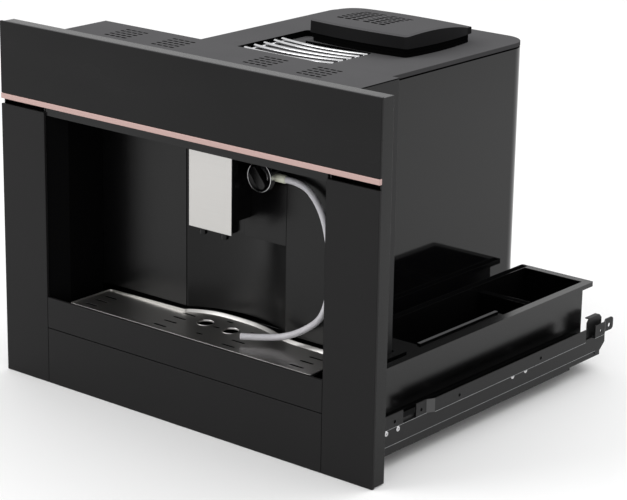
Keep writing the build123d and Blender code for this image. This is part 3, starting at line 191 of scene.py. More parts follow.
class Finish:
    """A material under construction."""

    def __init__(self, name, **settings):
        self.material = bpy.data.materials.new(name)
        self.material.use_nodes = True
        self.tree = self.material.node_tree
        self.shader = self.tree.nodes["Principled BSDF"]
        for key, value in settings.items():
            self.shader.inputs[key.replace("_", " ")].default_value = value

    def node(self, kind, settings=None, inputs=None, output=0):
        """Adds one node, sets it up, and gives its output as a Value."""
        made = self.tree.nodes.new(kind)
        for key, value in (settings or {}).items():
            if key == "stops":
                for stop, (place, tone) in zip(made.color_ramp.elements, value):
                    stop.position = place
                    stop.color = (tone, tone, tone, 1)
            else:
                setattr(made, key, value)
        for key, value in (inputs or {}).items():
            if isinstance(value, Value):
                self.tree.links.new(value.socket, made.inputs[key])
            else:
                made.inputs[key].default_value = value
        return Value(self, made.outputs[output])

    def place(self, stretch=(1, 1, 1)):
        """Object coordinates, stretched along the axes."""
        here = self.node("ShaderNodeTexCoord", output="Object")
        return self.node("ShaderNodeMapping", None, {"Vector": here, "Scale": stretch})

    def noise(self, scale, detail=2.0, stretch=(1, 1, 1)):
        """Cloudy noise from 0 to 1."""
        inputs = {"Vector": self.place(stretch), "Scale": scale, "Detail": detail}
        return self.node("ShaderNodeTexNoise", None, inputs)

    def cells(self, scale):
        """Flat cells, each with its own grey."""
        inputs = {"Vector": self.place(), "Scale": scale}
        return self.node("ShaderNodeTexVoronoi", {"feature": "F1"}, inputs, "Color")

    def narrow(self, value, low, high):
        """Stretches the middle of a mask over the whole range."""
        settings = {"stops": ((low, 0.0), (high, 1.0))}
        return self.node("ShaderNodeValToRGB", settings, {"Fac": value})

    def blend(self, mask, first, second):
        """A colour between two, by a mask."""
        return self.node(
            "ShaderNodeMix",
            {"data_type": "RGBA"},
            {0: mask, 6: self.colour(first), 7: self.colour(second)},
            output=2,
        )

    def colour(self, value):
        """A colour socket or an opaque fixed colour."""
        return value if isinstance(value, Value) else (*value, 1.0)

    def tone(self):
        """The share of painted light, a pale colour standing in for light, that each
        face of the piece asks for.
        """
        return self.node("ShaderNodeAttribute", {"attribute_name": PAINTED_LIGHT_ATTRIBUTE}, output="Fac")

    def feed(self, socket, value):
        """Links a value to the shader."""
        self.tree.links.new(value.socket, self.shader.inputs[socket])

    def look(self, mask, first, second, rough):
        """Sets the colour, from first to second by a mask, and the roughness."""
        self.feed("Base Color", self.blend(mask, first, second))
        self.feed("Roughness", rough)
        return self

    def emboss(self, height, strength, depth):
        """Gives the surface a fine relief; depth is in metres."""
        relief = {"Height": height, "Strength": strength, "Distance": depth}
        self.feed("Normal", self.node("ShaderNodeBump", None, relief))
        return self


def shade(colour, share):
    """A colour made lighter or darker."""
    return tuple(channel * share for channel in colour)


def shades(colour, low, high):
    """The dark and the pale shade of a colour."""
    return shade(colour, low), shade(colour, high)


def satin_lacquer(name):
    """Satin lacquer of the front plates: fine even grain, slightly uneven gloss."""
    made = Finish(name, Specular_IOR_Level=0.11)
    grain = made.noise(1500, 3)
    cloud = made.noise(7, 3)
    mask = cloud * 0.6 + grain * 0.4
    rough = 0.33 + 0.1 * cloud + 0.08 * grain
    made.look(mask, *shades(colours().panel, 0.8, 1.2), rough)
    return made.emboss(grain, 0.12, 0.0002)


def dark_glass(name):
    """Dark glass of the control panel: smooth, with a trace of wiping marks."""
    made = Finish(name, Specular_IOR_Level=0.1, Coat_Roughness=0.06)
    wiped = made.noise(5, 4, (1, 1, 3))
    made.look(wiped, *shades(colours().panel, 0.65, 0.85), 0.2 + 0.12 * wiped)
    made.feed("Coat Weight", 0.06 * wiped)
    return made.emboss(made.noise(60, 2), 0.02, 0.0003)


def brushed_metal(name, colour, rough, stretch, metallic=1.0):
    """Metal with fine brush marks; stretch shortens the pattern across them."""
    made = Finish(name, Metallic=metallic)
    lines = made.noise(1.0, 3, stretch)
    fine = made.noise(2.7, 2, stretch)
    cloud = made.noise(12, 2)
    marks = lines * 0.6 + fine * 0.4
    mask = marks * 0.7 + cloud * 0.3
    uneven = rough - 0.08 + 0.2 * marks + 0.04 * cloud
    made.look(mask, *shades(colour, 0.86, 1.1), uneven)
    return made.emboss(marks, 0.14, 0.0001)


def rose_anodised(name):
    """Rose anodised aluminium, brushed along its length."""
    return brushed_metal(name, colours().strip, 0.42, (9, 1500, 1500), 0.75)


def bright_stainless(name):
    """Brushed stainless steel."""
    return brushed_metal(name, colours().steel, 0.3, (14, 1700, 1700))


def painted_sheet(name):
    """Black painted sheet steel with a powder texture, and pale as painted highlight
    where a face has tone.
    """
    made = Finish(name, Specular_IOR_Level=0.23)
    powder = made.noise(1100, 4)
    cloud = made.noise(14, 3)
    paint = made.blend(cloud, (0.006, 0.006, 0.0063), (0.0095, 0.0095, 0.0099))
    rough = 0.36 + 0.12 * powder + 0.08 * cloud
    # Painted highlight: the pale colour where a face has tone.
    made.look(made.tone(), paint, (0.42, 0.42, 0.42), rough)
    return made.emboss(powder, 0.2, 0.0003)


def zinc_sheet(name):
    """Zinc coated sheet steel with its frosted spangle."""
    made = Finish(name, Metallic=0.9)
    spangle = made.narrow(made.cells(260), 0.1, 0.9)
    dull = made.noise(40, 4)
    mask = spangle * 0.5 + dull * 0.5
    rough = 0.34 + 0.14 * spangle + 0.12 * dull
    made.look(mask, (0.24, 0.245, 0.25), (0.42, 0.425, 0.43), rough)
    return made.emboss(spangle, 0.06, 0.0002)


def polished_chrome(name):
    """Polished chrome with faint smudges."""
    made = Finish(name, Metallic=1.0)
    smudge = made.noise(70, 4)
    rough = 0.16 + 0.12 * smudge**2
    return made.look(smudge, (0.55, 0.55, 0.56), (0.68, 0.68, 0.69), rough)


def moulded(name, colour, rough, grain_scale=2200, relief=0.25, specular=0.26):
    """Moulded plastic with the fine grain of a spark eroded tool."""
    made = Finish(name, Specular_IOR_Level=specular)
    grain = made.noise(grain_scale, 4)
    flow = made.noise(10, 3, (1, 1, 0.4))
    mask = flow * 0.6 + grain * 0.4
    uneven = rough - 0.06 + 0.1 * grain + 0.08 * flow
    made.look(mask, *shades(colour, 0.8, 1.2), uneven)
    return made.emboss(grain, relief, 0.0002)


def black_moulding(name):
    """Satin black plastic."""
    return moulded(name, colours().moulding, 0.22, specular=0.24)


def painted_top_light_plastic(name):
    """Dull textured black plastic with painted light: grey where a face has tone, and
    black elsewhere.
    """
    made = Finish(name, Specular_IOR_Level=0.0)
    grain = made.noise(1700, 4)
    flow = made.noise(10, 3, (1, 1, 0.4))
    # Painted light: this grey stands in for the light on the faces with tone.
    matt = made.blend(flow * 0.6 + grain * 0.4, *shades(colours().cover, 0.85, 1.15))
    rough = 0.36 + 0.1 * grain + 0.08 * flow
    made.look(made.tone(), shade(colours().moulding, 1.2), matt, rough)
    return made.emboss(grain, 0.35, 0.0002)


def tub_plastic(name):
    """Black plastic of the storage tub, smoother than the mouldings."""
    return moulded(name, shade(colours().moulding, 0.8), 0.2, 1300, 0.05, 0.33)


def gloss_lacquer(name):
    """Gloss lacquer of the body: very smooth, with a faint orange peel."""
    made = Finish(name, Specular_IOR_Level=0.26)
    peel = made.noise(160, 2)
    cloud = made.noise(5, 2)
    rough = 0.035 + 0.03 * cloud
    made.look(cloud, (0.0014, 0.0014, 0.0016), (0.0024, 0.0024, 0.0026), rough)
    return made.emboss(peel, 0.015, 0.0004)


def silicone(name):
    """Milky translucent silicone."""
    made = Finish(name, IOR=1.41, Transmission_Weight=0.2)
    cloud = made.noise(60, 3)
    made.look(cloud, *shades(colours().hose, 0.88, 1.15), 0.26 + 0.12 * cloud)
    return made.emboss(made.noise(500, 2), 0.05, 0.0002)


def ivory_sleeve(name):
    """Pale ivory plastic of the hose's sleeve."""
    return moulded(name, (0.6, 0.61, 0.5), 0.32, 900, 0.1, 0.5)


def smoke_clear(name):
    """Smoke grey clear plastic of the water tank."""
    made = Finish(name, IOR=1.49, Transmission_Weight=0.85)
    scuff = made.noise(45, 5)
    rough = 0.06 + 0.14 * scuff**2
    return made.look(scuff, (0.20, 0.22, 0.24), (0.28, 0.30, 0.32), rough)


def cast_metal(name):
    """Cast and turned metal of the inner works."""
    made = Finish(name, Metallic=0.85)
    cast = made.noise(420, 5)
    cloud = made.noise(24, 3)
    mask = cast * 0.5 + cloud * 0.5
    made.look(mask, (0.28, 0.28, 0.285), (0.46, 0.46, 0.465), 0.38 + 0.2 * cast)
    return made.emboss(cast, 0.3, 0.0004)


FINISHES = {
    "panel_black": satin_lacquer,
    "glass_black": dark_glass,
    "rose_strip": rose_anodised,
    "steel_black": painted_sheet,
    "zinc_steel": zinc_sheet,
    "bright_steel": bright_stainless,
    "chrome": polished_chrome,
    "liner_black": black_moulding,
    "body_black": gloss_lacquer,
    "cover_grey": painted_top_light_plastic,
    "tub_black": tub_plastic,
    "hose_silicone": silicone,
    "collar_plastic": ivory_sleeve,
    "tank_clear": smoke_clear,
    "machinery": cast_metal,
}


def finish_of(slot):
    """The material of a slot, made when it is first asked for."""
    found = bpy.data.materials.get(slot + "_finish")
    return found or FINISHES[slot](slot + "_finish").material


# ---- mesh making, in millimetres
def node_box(node):
    """Lowest and highest corner of a node."""
    low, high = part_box(node)
    return low / MM, high / MM


def block(low, high):
    """A box between two corners."""
    low, high = Vector(low), Vector(high)
    shape = bmesh.new()
    bmesh.ops.create_cube(shape, size=1.0)
    bmesh.ops.scale(shape, vec=high - low, verts=shape.verts)
    bmesh.ops.translate(shape, vec=(low + high) / 2, verts=shape.verts)
    return shape


def flat(corners, z):
    """A flat face through plan corners."""
    shape = bmesh.new()
    shape.faces.new([shape.verts.new((x, y, z)) for x, y in corners])
    return shape


def rectangle(low_x, low_y, high_x, high_y):
    """Plan corners of a rectangle, anticlockwise."""
    return ((low_x, low_y), (high_x, low_y), (high_x, high_y), (low_x, high_y))


def bevel(shape, parts, kind, radius, segments):
    """Rounds vertices or edges."""
    bmesh.ops.bevel(
        shape,
        geom=parts,
        offset=radius,
        affect=kind,
        segments=segments,
        profile=0.5,
        material=-1,
        clamp_overlap=True,
    )


def round_corners(shape, radius, segments, corners=None):
    """Rounds the corners of a flat face."""
    bevel(shape, list(corners or shape.verts), "VERTICES", radius, segments)


def raised(shape, height):
    """Extrudes flat faces up into solids."""
    made = bmesh.ops.extrude_face_region(shape, geom=list(shape.faces))
    top = [item for item in made["geom"] if isinstance(item, bmesh.types.BMVert)]
    bmesh.ops.translate(shape, vec=(0, 0, height), verts=top)
    bmesh.ops.recalc_face_normals(shape, faces=shape.faces)
    return shape


def above(z):
    """A test for the edges above a height."""
    return lambda edge: min(vert.co.z for vert in edge.verts) > z


def ease(shape, radius, segments=2, angle=30.0, where=None):
    """Rounds the sharp edges of a solid."""
    sharp = [
        edge
        for edge in shape.edges
        if edge.is_manifold
        and edge.calc_face_angle() > math.radians(angle)
        and (where is None or where(edge))
    ]
    bevel(shape, sharp, "EDGES", radius, segments)
    return shape


def slots(places, length, width, z, segments=4):
    """Flat round ended slots at plan places."""
    shape = bmesh.new()
    half_x, half_y = length / 2, width / 2
    for x, y in places:
        corners = rectangle(x - half_x, y - half_y, x + half_x, y + half_y)
        shape.faces.new([shape.verts.new((*corner, z)) for corner in corners])
    round_corners(shape, width * SLOT_END, segments)
    return shape


def facing(axis):
    """The rotation that takes the Z axis to another one."""
    return UP.rotation_difference(Vector(axis)).to_matrix().to_4x4()


def turned(profile, steps=48, origin=(0, 0, 0), axis=UP):
    """Turns (radius, height) points round an axis."""
    shape = bmesh.new()
    line = [shape.verts.new((radius, 0, height)) for radius, height in profile]
    run = [shape.edges.new(pair) for pair in zip(line, line[1:])]
    bmesh.ops.spin(
        shape,
        geom=line + run,
        cent=(0, 0, 0),
        axis=UP,
        angle=math.tau,
        steps=steps,
        use_merge=True,
        use_duplicate=False,
    )
    bmesh.ops.remove_doubles(shape, verts=shape.verts, dist=0.001)
    bmesh.ops.recalc_face_normals(shape, faces=shape.faces)
    move = Matrix.Translation(origin) @ facing(axis)
    bmesh.ops.transform(shape, matrix=move, verts=shape.verts)
    return shape


def round_bar(radius, reach, steps, centre):
    """An upright round bar that reaches as far below its centre as above it."""
    profile = ((0.0, -reach), (radius, -reach), (radius, reach), (0.0, reach))
    return turned(profile, steps, centre)


def as_mesh(name, shape):
    """Turns a shape into a mesh."""
    mesh = bpy.data.meshes.new(name)
    shape.to_mesh(mesh)
    shape.free()
    return mesh


def together(*shapes):
    """Several shapes as one."""
    whole = bmesh.new()
    for shape in shapes:
        part = as_mesh("part", shape)
        whole.from_mesh(part)
        bpy.data.meshes.remove(part)
    return whole


def placed(name, data):
    """A new object in the scene."""
    thing = bpy.data.objects.new(name, data)
    bpy.context.scene.collection.objects.link(thing)
    return thing


def cut(shape, cutter):
    """The shape with the cutter's solids taken out."""
    whole, tool = [placed("helper", as_mesh("helper", s)) for s in (shape, cutter)]
    difference = whole.modifiers.new("cut", "BOOLEAN")
    difference.operation = "DIFFERENCE"
    difference.solver = "EXACT"
    difference.object = tool
    graph = bpy.context.evaluated_depsgraph_get()
    mesh = bpy.data.meshes.new_from_object(whole.evaluated_get(graph))
    left = bmesh.new()
    left.from_mesh(mesh)
    bpy.data.meshes.remove(mesh)
    for helper in (whole, tool):
        bpy.data.meshes.remove(helper.data)
    if not left.faces:
        raise RuntimeError("a cut left nothing")
    return left


def opened(shape, wall):
    """Makes an upright solid a ring: its top and bottom are cut out inside a wall."""
    ends = [face for face in shape.faces if abs(face.normal.z) > 0.99]
    bmesh.ops.inset_individual(shape, faces=ends, thickness=wall, use_even_offset=True)
    rims = [set(face.edges) for face in ends]
    loops = [edge for rim in rims for edge in rim]
    bmesh.ops.delete(shape, geom=ends, context="FACES_ONLY")
    bmesh.ops.bridge_loops(shape, edges=loops)
    bmesh.ops.recalc_face_normals(shape, faces=shape.faces)
    return shape


def node_copy(node):
    """A clean copy of a node's mesh: merged, with its flat sides whole again."""
    shape = bmesh.new()
    shape.from_mesh(frame["nodes"][node].data)
    bmesh.ops.scale(shape, vec=(1 / MM,) * 3, verts=shape.verts)
    bmesh.ops.remove_doubles(shape, verts=shape.verts, dist=0.004)
    bmesh.ops.dissolve_limit(
        shape,
        angle_limit=math.radians(0.4),
        verts=shape.verts,
        edges=shape.edges,
        use_dissolve_boundaries=False,
        delimit=set(),
    )
    return shape


def corner_normals(shape, angle):
    """Normals of the face corners, led by the larger faces: flat sides look flat."""
    shape.normal_update()
    limit = math.cos(math.radians(angle))
    pull = {face: face.normal * face.calc_area() for face in shape.faces}

    def blended(face, vert):
        near = [f for f in vert.link_faces if f.normal.dot(face.normal) > limit]
        return sum((pull[f] for f in near), pull[face] * OWN_PULL).normalized()

    return [blended(face, corner.vert) for face in shape.faces for corner in face.loops]


def upward(face):
    """How far a face looks up, from 0 to 1; pieces use it as their share of painted
    light on tops.
    """
    return max(0.0, face.normal.z)


def add_piece(name, shape, body, slot, angle=50.0, tone=None):
    """Makes a shape in millimetres a piece that moves with a body."""
    normals = corner_normals(shape, angle)
    # Painted light: the share of pale colour on each face, where the piece has any.
    painted_light_shares = [tone(face) for face in shape.faces] if tone else None
    bmesh.ops.scale(shape, vec=(MM,) * 3, verts=shape.verts)
    mesh = as_mesh(name, shape)
    mesh.shade_smooth()
    mesh.normals_split_custom_set(normals)
    if painted_light_shares:
        mesh.attributes.new(PAINTED_LIGHT_ATTRIBUTE, "FLOAT", "FACE").data.foreach_set("value", painted_light_shares)
    mesh.materials.append(finish_of(slot))
    piece = placed(name, mesh)
    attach(piece, body)
    return piece


def stand_in(name, shape, *nodes, slot=None, angle=50.0, tone=None):
    """Makes a shape the piece that stands for these nodes."""
    body = frame["nodes"][nodes[0]]["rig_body"]
    piece = add_piece(name, shape, body, slot or NODE_SLOT[nodes[0]], angle, tone)
    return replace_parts(piece, *nodes)


def refine(nodes, edge, segments=2, slot=None, tone=None):
    """Stands a copy with eased edges in for each of these nodes."""
    for node in nodes:
        eased = ease(node_copy(node), edge, segments)
        stand_in(node + "_eased", eased, node, slot=slot, tone=tone)


# ---- stage
class COFFEE_OT_stage(bpy.types.Operator):
    """Pale floor, soft studio light and the camera"""

    bl_idname = "coffee.stage"
    bl_label = "Stage"

    camera_place = (1.7444, -1.9117, 1.0047)
    camera_turns = (39.16, 17.27, 0.97)  # azimuth, elevation and roll in degrees
    camera_lens = 130.8
    floor_z = -18.4
    floor_size = 8000.0
    aim = Vector((0, 0.2, 0.2))

    def execute(self, context):
        self.add_camera(context.scene)
        self.add_floor()
        world = bpy.data.worlds.new("studio")
        world.use_nodes = True
        sky = world.node_tree.nodes["Background"]
        sky.inputs["Color"].default_value = (1.0, 1.0, 1.0, 1.0)
        sky.inputs["Strength"].default_value = 1.0
        context.scene.world = world
        context.scene.view_settings.view_transform = "Standard"
        self.add_light("left_softbox", (-1.5, -1.9, 1.7), size=1.6, energy=27.0)
        self.add_light("rear_softbox", (0.9, 1.6, 2.0), size=1.4, energy=13.0)
        return {"FINISHED"}

    def add_camera(self, scene):
        azimuth, elevation, roll = map(math.radians, self.camera_turns)
        span = math.cos(elevation)
        back = Vector(
            (math.sin(azimuth) * span, -math.cos(azimuth) * span, math.sin(elevation))
        )
        level = UP.cross(back).normalized()
        upright = back.cross(level)
        right = level * math.cos(roll) + upright * math.sin(roll)
        up = upright * math.cos(roll) - level * math.sin(roll)
        lens = bpy.data.cameras.new("camera")
        lens.lens = self.camera_lens
        lens.sensor_width = 36.0
        lens.clip_start, lens.clip_end = 0.05, 50.0
        camera = placed("camera", lens)
        turn = Matrix((right, up, back)).transposed().to_4x4()
        camera.matrix_world = Matrix.Translation(self.camera_place) @ turn
        scene.camera = camera

    def add_floor(self):
        half = self.floor_size / 2
        shape = flat(rectangle(-half, -half, half, half), self.floor_z)
        bmesh.ops.scale(shape, vec=(MM,) * 3, verts=shape.verts)
        mesh = as_mesh("floor", shape)
        made = Finish("floor_finish", Specular_IOR_Level=0.2)
        cloud = made.noise(1.5, 2)
        made.look(cloud, (0.93, 0.93, 0.93), (0.96, 0.96, 0.96), 0.6 + 0.2 * cloud)
        mesh.materials.append(made.material)
        placed("floor", mesh)

    def add_light(self, name, place, size, energy):
        lamp = bpy.data.lights.new(name, "AREA")
        lamp.size = size
        lamp.energy = energy
        light = placed(name, lamp)
        light.location = place
        way = self.aim - Vector(place)
        light.rotation_euler = way.to_track_quat("-Z", "Y").to_euler()


# ---- milk hose and knob
class COFFEE_OT_milk_hose(bpy.types.Operator):
    """Silicone hose from the milk outlet down to the drip tray"""

    bl_idname = "coffee.milk_hose"
    bl_label = "Milk hose"

    bore_depth = 9.0

    def execute(self, context):
        settings = sizes()
        line = bpy.data.curves.new("milk_hose_tube", "CURVE")
        line.dimensions = "3D"
        spline = line.splines.new("NURBS")
        spline.points.add(len(HOSE_ROUTE) - 1)
        for point, place in zip(spline.points, HOSE_ROUTE):
            point.co = (*(Vector(place) * MM), 1.0)
        spline.order_u = 3
        spline.use_endpoint_u = True
        line.resolution_u = 16
        line.bevel_depth = settings.hose_diameter / 2
        line.bevel_resolution = 8
        line.materials.append(finish_of("hose_silicone"))
        tube = placed("milk_hose_tube", line)
        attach(tube, "machine")
        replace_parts(tube, "milk_hose")
        outer, inner = settings.hose_diameter / MM / 2, settings.hose_bore / MM / 2
        end, before = Vector(HOSE_ROUTE[-1]), Vector(HOSE_ROUTE[-2])
        depth = -self.bore_depth
        profile = ((outer, 0.0), (inner, 0.0), (inner, depth), (0.0, depth))
        rim = turned(profile, 32, end, end - before)
        cut_end = add_piece("milk_hose_cut_end", rim, "machine", "hose_silicone")
        return {"FINISHED"}


class COFFEE_OT_milk_outlet(bpy.types.Operator):
    """Milk knob with its chrome ring, the valve and the hose's sleeve"""

    bl_idname = "coffee.milk_outlet"
    bl_label = "Milk outlet"

    centre = (74, 44, 295)
    grip_angle = -49.0
    grip = (31.0, 12.5, 12.3)  # length, width and height above the valve
    grip_base = 3.0
    valve_rear = 59.0
    hose_y = 50.0
    sleeve_start = 86.0
    # Profiles: radius, and distance along the axis.
    ring = (
        (17.1, 0), (18.5, 0), (18.5, 7.2), (18.2, 7.8),
        (17.8, 8), (17.4, 7.8), (17.1, 7.2), (17.1, 0),
    )
    dish = (
        (0, 0), (17, 0), (17, 6.6), (16.4, 6.8),
        (14.6, 5.2), (12.4, 4.4), (6, 4), (0, 4),
    )
    rib = ((10.2, 3.9), (10.8, 3.9), (10.8, 5), (10.5, 5.3), (10.2, 5), (10.2, 3.9))
    drum = ((0, 0), (10, 0), (10, 13.9), (9.4, 14.5), (0, 14.5))
    nipple = ((0, 0), (3, 0), (3, 30), (2.6, 30.7), (0, 30.7))
    shoulder = ((0, 8), (4.2, 8), (4.2, 11.2), (3.4, 11.9), (0, 11.9))
    sleeve = (
        (3.05, 0), (4.6, 0), (5, 0.5), (5, 5.2), (4.7, 5.6), (4.7, 6.6),
        (5, 7), (5, 17), (4.2, 19), (3.05, 19), (3.05, 0),
    )

    def execute(self, context):
        ring = turned(self.ring, 64, self.centre, FRONT)
        stand_in("knob_chrome_ring", ring, "knob_ring", angle=60)
        length, width, height = self.grip
        outline = slots([(0, 0)], length, width, self.grip_base, 8)
        bar = raised(outline, height - self.grip_base)
        ease(bar, 1.2, 4, 50, above(height - 0.1))
        turn = Matrix.Rotation(math.radians(self.grip_angle), 4, "Z")
        move = Matrix.Translation(self.centre) @ facing(FRONT) @ turn
        bmesh.ops.transform(bar, matrix=move, verts=bar.verts)
        dish = turned(self.dish, 64, self.centre, FRONT)
        stand_in("knob_dish_and_grip", together(dish, bar), "milk_knob")
        rib = turned(self.rib, 48, self.centre, FRONT)
        add_piece("knob_bright_rib", rib, "milk_knob", "chrome", 60)
        self.add_valve()
        return {"FINISHED"}

    def add_valve(self):
        x, _, z = self.centre
        drum = turned(self.drum, 48, (x, self.valve_rear, z), FRONT)
        nipple = turned(self.nipple, 32, (x, self.hose_y, z), RIGHT)
        shoulder = turned(self.shoulder, 32, (x, self.hose_y, z), RIGHT)
        stand_in("milk_valve_turned", together(drum, nipple, shoulder), "milk_valve")
        sleeve = turned(self.sleeve, 40, (self.sleeve_start, self.hose_y, z), RIGHT)
        stand_in("milk_hose_sleeve", sleeve, "milk_collar")


# ---- fascia and niche
class COFFEE_OT_fascia(bpy.types.Operator):
    """Front plates, the accent strip and the steel frame behind them"""

    bl_idname = "coffee.fascia"
    bl_label = "Fascia"

    plates = (
        "control_panel", "side_panel_right", "side_panel_left",
        "lower_panel", "tray_front", "accent_strip",
    )
    cap_inset = 0.1
    cap_rise = 0.15

    def execute(self, context):
        edge = sizes().plate_edge / MM
        for node in self.plates:
            plate = ease(block(*node_box(node)), edge, 3)
            stand_in(node + "_plate", plate, node, angle=60)
        # Painted light: a thin cap on the control panel whose top face is painted grey
        # as light, with black sides.
        low, high = node_box("control_panel")
        inset = Vector((edge, edge, self.cap_inset))
        cap = block(low + inset, high - inset + Vector((0, 0, self.cap_rise)))
        add_piece("control_panel_cap", cap, "machine", "cover_grey", tone=upward)
        # Painted shade: the frame takes the darker black of the mouldings in place of
        # its painted sheet, to darken its reveal, which lies in shade.
        refine(("front_frame",), sizes().sheet_edge / MM, slot="liner_black")
        return {"FINISHED"}


class COFFEE_OT_niche(bpy.types.Operator):
    """Lining of the niche and the brew column, with a black strip of painted shade at
    the bay's edge
    """

    bl_idname = "coffee.niche"
    bl_label = "Niche"

    # Painted shade: a black strip a little proud of the back wall stands in for the
    # shadow in the gap beside the bay.
    shadow_strip_low = (-61.6, 58.75, 99)
    shadow_strip_high = (-60.2, 59.2, 332)

    def execute(self, context):
        edge = sizes().moulded_edge / MM
        refine(("niche_side_right", "niche_side_left"), edge, slot="cover_grey")
        refine(("niche_ceiling", "niche_back", "brew_column"), edge)
        # Painted shade strip beside the bay.
        seam = block(self.shadow_strip_low, self.shadow_strip_high)
        add_piece("bay_shadow_strip", seam, "machine", "cover_grey")
        return {"FINISHED"}


class COFFEE_OT_housing(bpy.types.Operator):
    """Sheet steel housing behind the fascia and its vented top"""

    bl_idname = "coffee.housing"
    bl_label = "Housing"

    slot_length = 8.0
    slot_width = 3.8
    overcut = 1.0

    def execute(self, context):
        refine(("front_housing",), sizes().sheet_edge / MM)
        node = "bridge_plate"
        low, high = node_box(node)
        plate = ease(block(low, high), sizes().sheet_edge / MM, 3)
        places = [
            (group + column * VENT_PITCH, VENT_Y + row * VENT_PITCH)
            for group in VENT_GROUPS
            for row in VENT_ROWS
            for column in VENT_COLUMNS
        ]
        cutter = slots(places, self.slot_length, self.slot_width, low.z - self.overcut)
        vented = cut(plate, raised(cutter, high.z - low.z + 2 * self.overcut))
        # Painted light: the vented plate's top faces are painted grey as light, its
        # edges and sides black.
        stand_in(node + "_vented", vented, node, slot="cover_grey", tone=upward)
        return {"FINISHED"}


# ---- drip tray and spout
class COFFEE_OT_drip_tray(bpy.types.Operator):
    """Drip tray with its bright rim, drain slots and two wells"""

    bl_idname = "coffee.drip_tray"
    bl_label = "Drip tray"

    slot_length = 21.0
    slot_width = 4.0
    well_radius = 10.0
    well_reach = 3.0
    cut_height = 4.0
    floor_z = 94.0
    sheet_z = 93.6
    sheet_rise = 0.2  # top of the sheet above floor_z
    sheet_inset = 0.8
    border_lap = 0.1
    border_width = 4.0
    rear_y = 54.0
    right_x = 201.0
    corner_radius = 3.0
    wave_radius = 22.0
    # Points of the bulge: x, and y behind the rear edge.
    bulge = ((104, 0), (58, 18.5), (5, 22.5), (-40, 18))
    bulge_start = -61.0
    bulge_lip = 3.2  # further width of the rim's slope round the bulge
    low_rim = 0.45  # height of the rim in front and on the left, against the bulge's
    # Profile of a collar: distance beyond the well's radius, and height.
    collar = (
        (1.8, 0.15), (1, 0.9), (0.2, 0.8), (-0.4, -0.4),
        (-0.4, -1.6), (0.2, -1.6), (0.2, -1), (1.8, 0.15),
    )

    def outline(self, low, high, z, inset=0.0, lip=0.0):
        """Plan of the tray: straight sides, and a wave in the rear edge."""
        rear = self.rear_y - inset
        corners = [
            (low.x + inset, low.y + inset),
            (high.x - inset, low.y + inset),
            (high.x - inset, rear - lip),
            *[(x, rear - lip + y) for x, y in self.bulge],
            (self.bulge_start + inset, rear),
            (low.x + inset, rear),
        ]
        shape = flat(corners, z)
        soft = [v for v in shape.verts if self.bulge_start + 10 < v.co.x < high.x - 30]
        round_corners(shape, self.wave_radius, 10, soft)
        hard = [v for v in shape.verts if v.co.x < low.x + 10 or v.co.x > high.x - 10]
        round_corners(shape, self.corner_radius, 5, hard)
        return shape

    def rim(self, low, high):
        """The rim: an upright wall with a rolled top and a sloping inner side."""
        width = sizes().tray_rim / MM
        rings = (
            (self.floor_z, 0.0, 0.0),
            (high.z - 0.6, 0.0, 0.0),
            (high.z - 0.15, 0.2, 0.0),
            (high.z, 0.6, 0.0),
            (high.z - 0.25, 1.1, 0.3),
            (self.floor_z, width, self.bulge_lip),
        )
        shape = bmesh.new()
        loops = []
        for z, inset, lip in rings:
            plan = self.outline(low, high, z, inset, lip)
            plan.faces.ensure_lookup_table()
            for vert in plan.verts:
                if vert.co.y < 0 or vert.co.x < self.bulge_start - 1:
                    vert.co.z = self.floor_z + (z - self.floor_z) * self.low_rim
            corners = plan.faces[0].loops
            loops.append([shape.verts.new(corner.vert.co) for corner in corners])
            plan.free()
        for lower, upper in zip(loops, loops[1:] + loops[:1]):
            gaps = [(vert.co - lower[0].co).length for vert in upper]
            start = gaps.index(min(gaps))
            upper = upper[start:] + upper[:start]
            for i, vert in enumerate(lower):
                shape.faces.new((vert, lower[i - 1], upper[i - 1], upper[i]))
        bmesh.ops.recalc_face_normals(shape, faces=shape.faces)
        return shape

    def drains(self, places, length, z):
        """Cutters for a row of drain slots."""
        return raised(slots(places, length, self.slot_width, z), self.cut_height)

    def execute(self, context):
        low, high = node_box("tray_plate")
        high.x = self.right_x
        rim = self.rim(low, high)
        stand_in("tray_rim", rim, "tray_plate", slot="bright_steel", angle=60)
        floor = self.outline(low, high, self.sheet_z, self.sheet_inset)
        raised(floor, self.floor_z + self.sheet_rise - self.sheet_z)
        border = self.outline(low, high, low.z, self.sheet_inset)
        raised(border, self.sheet_z + self.border_lap - low.z)
        long_places = [(x, y) for x in DRAIN_COLUMNS for y in DRAIN_ROWS]
        long = self.drains(long_places, self.slot_length, low.z - 1)
        short = self.drains(SHORT_DRAINS, self.slot_length / 2, low.z - 1)
        centres = [(x, y, self.floor_z) for x, y in DRAIN_WELLS]
        wells = [round_bar(self.well_radius, self.well_reach, 40, at) for at in centres]
        sheet = cut(floor, together(long, short, *wells))
        plate = together(sheet, opened(border, self.border_width))
        stand_in("tray_floor", plate, "tray_plate", slot="bright_steel")
        profile = [(self.well_radius + out, z) for out, z in self.collar]
        collars = together(*[turned(profile, 48, at) for at in centres])
        add_piece("tray_well_collars", collars, "tray_drawer", "bright_steel")
        refine(("tray_basin", "grounds_container"), 0.5)
        return {"FINISHED"}


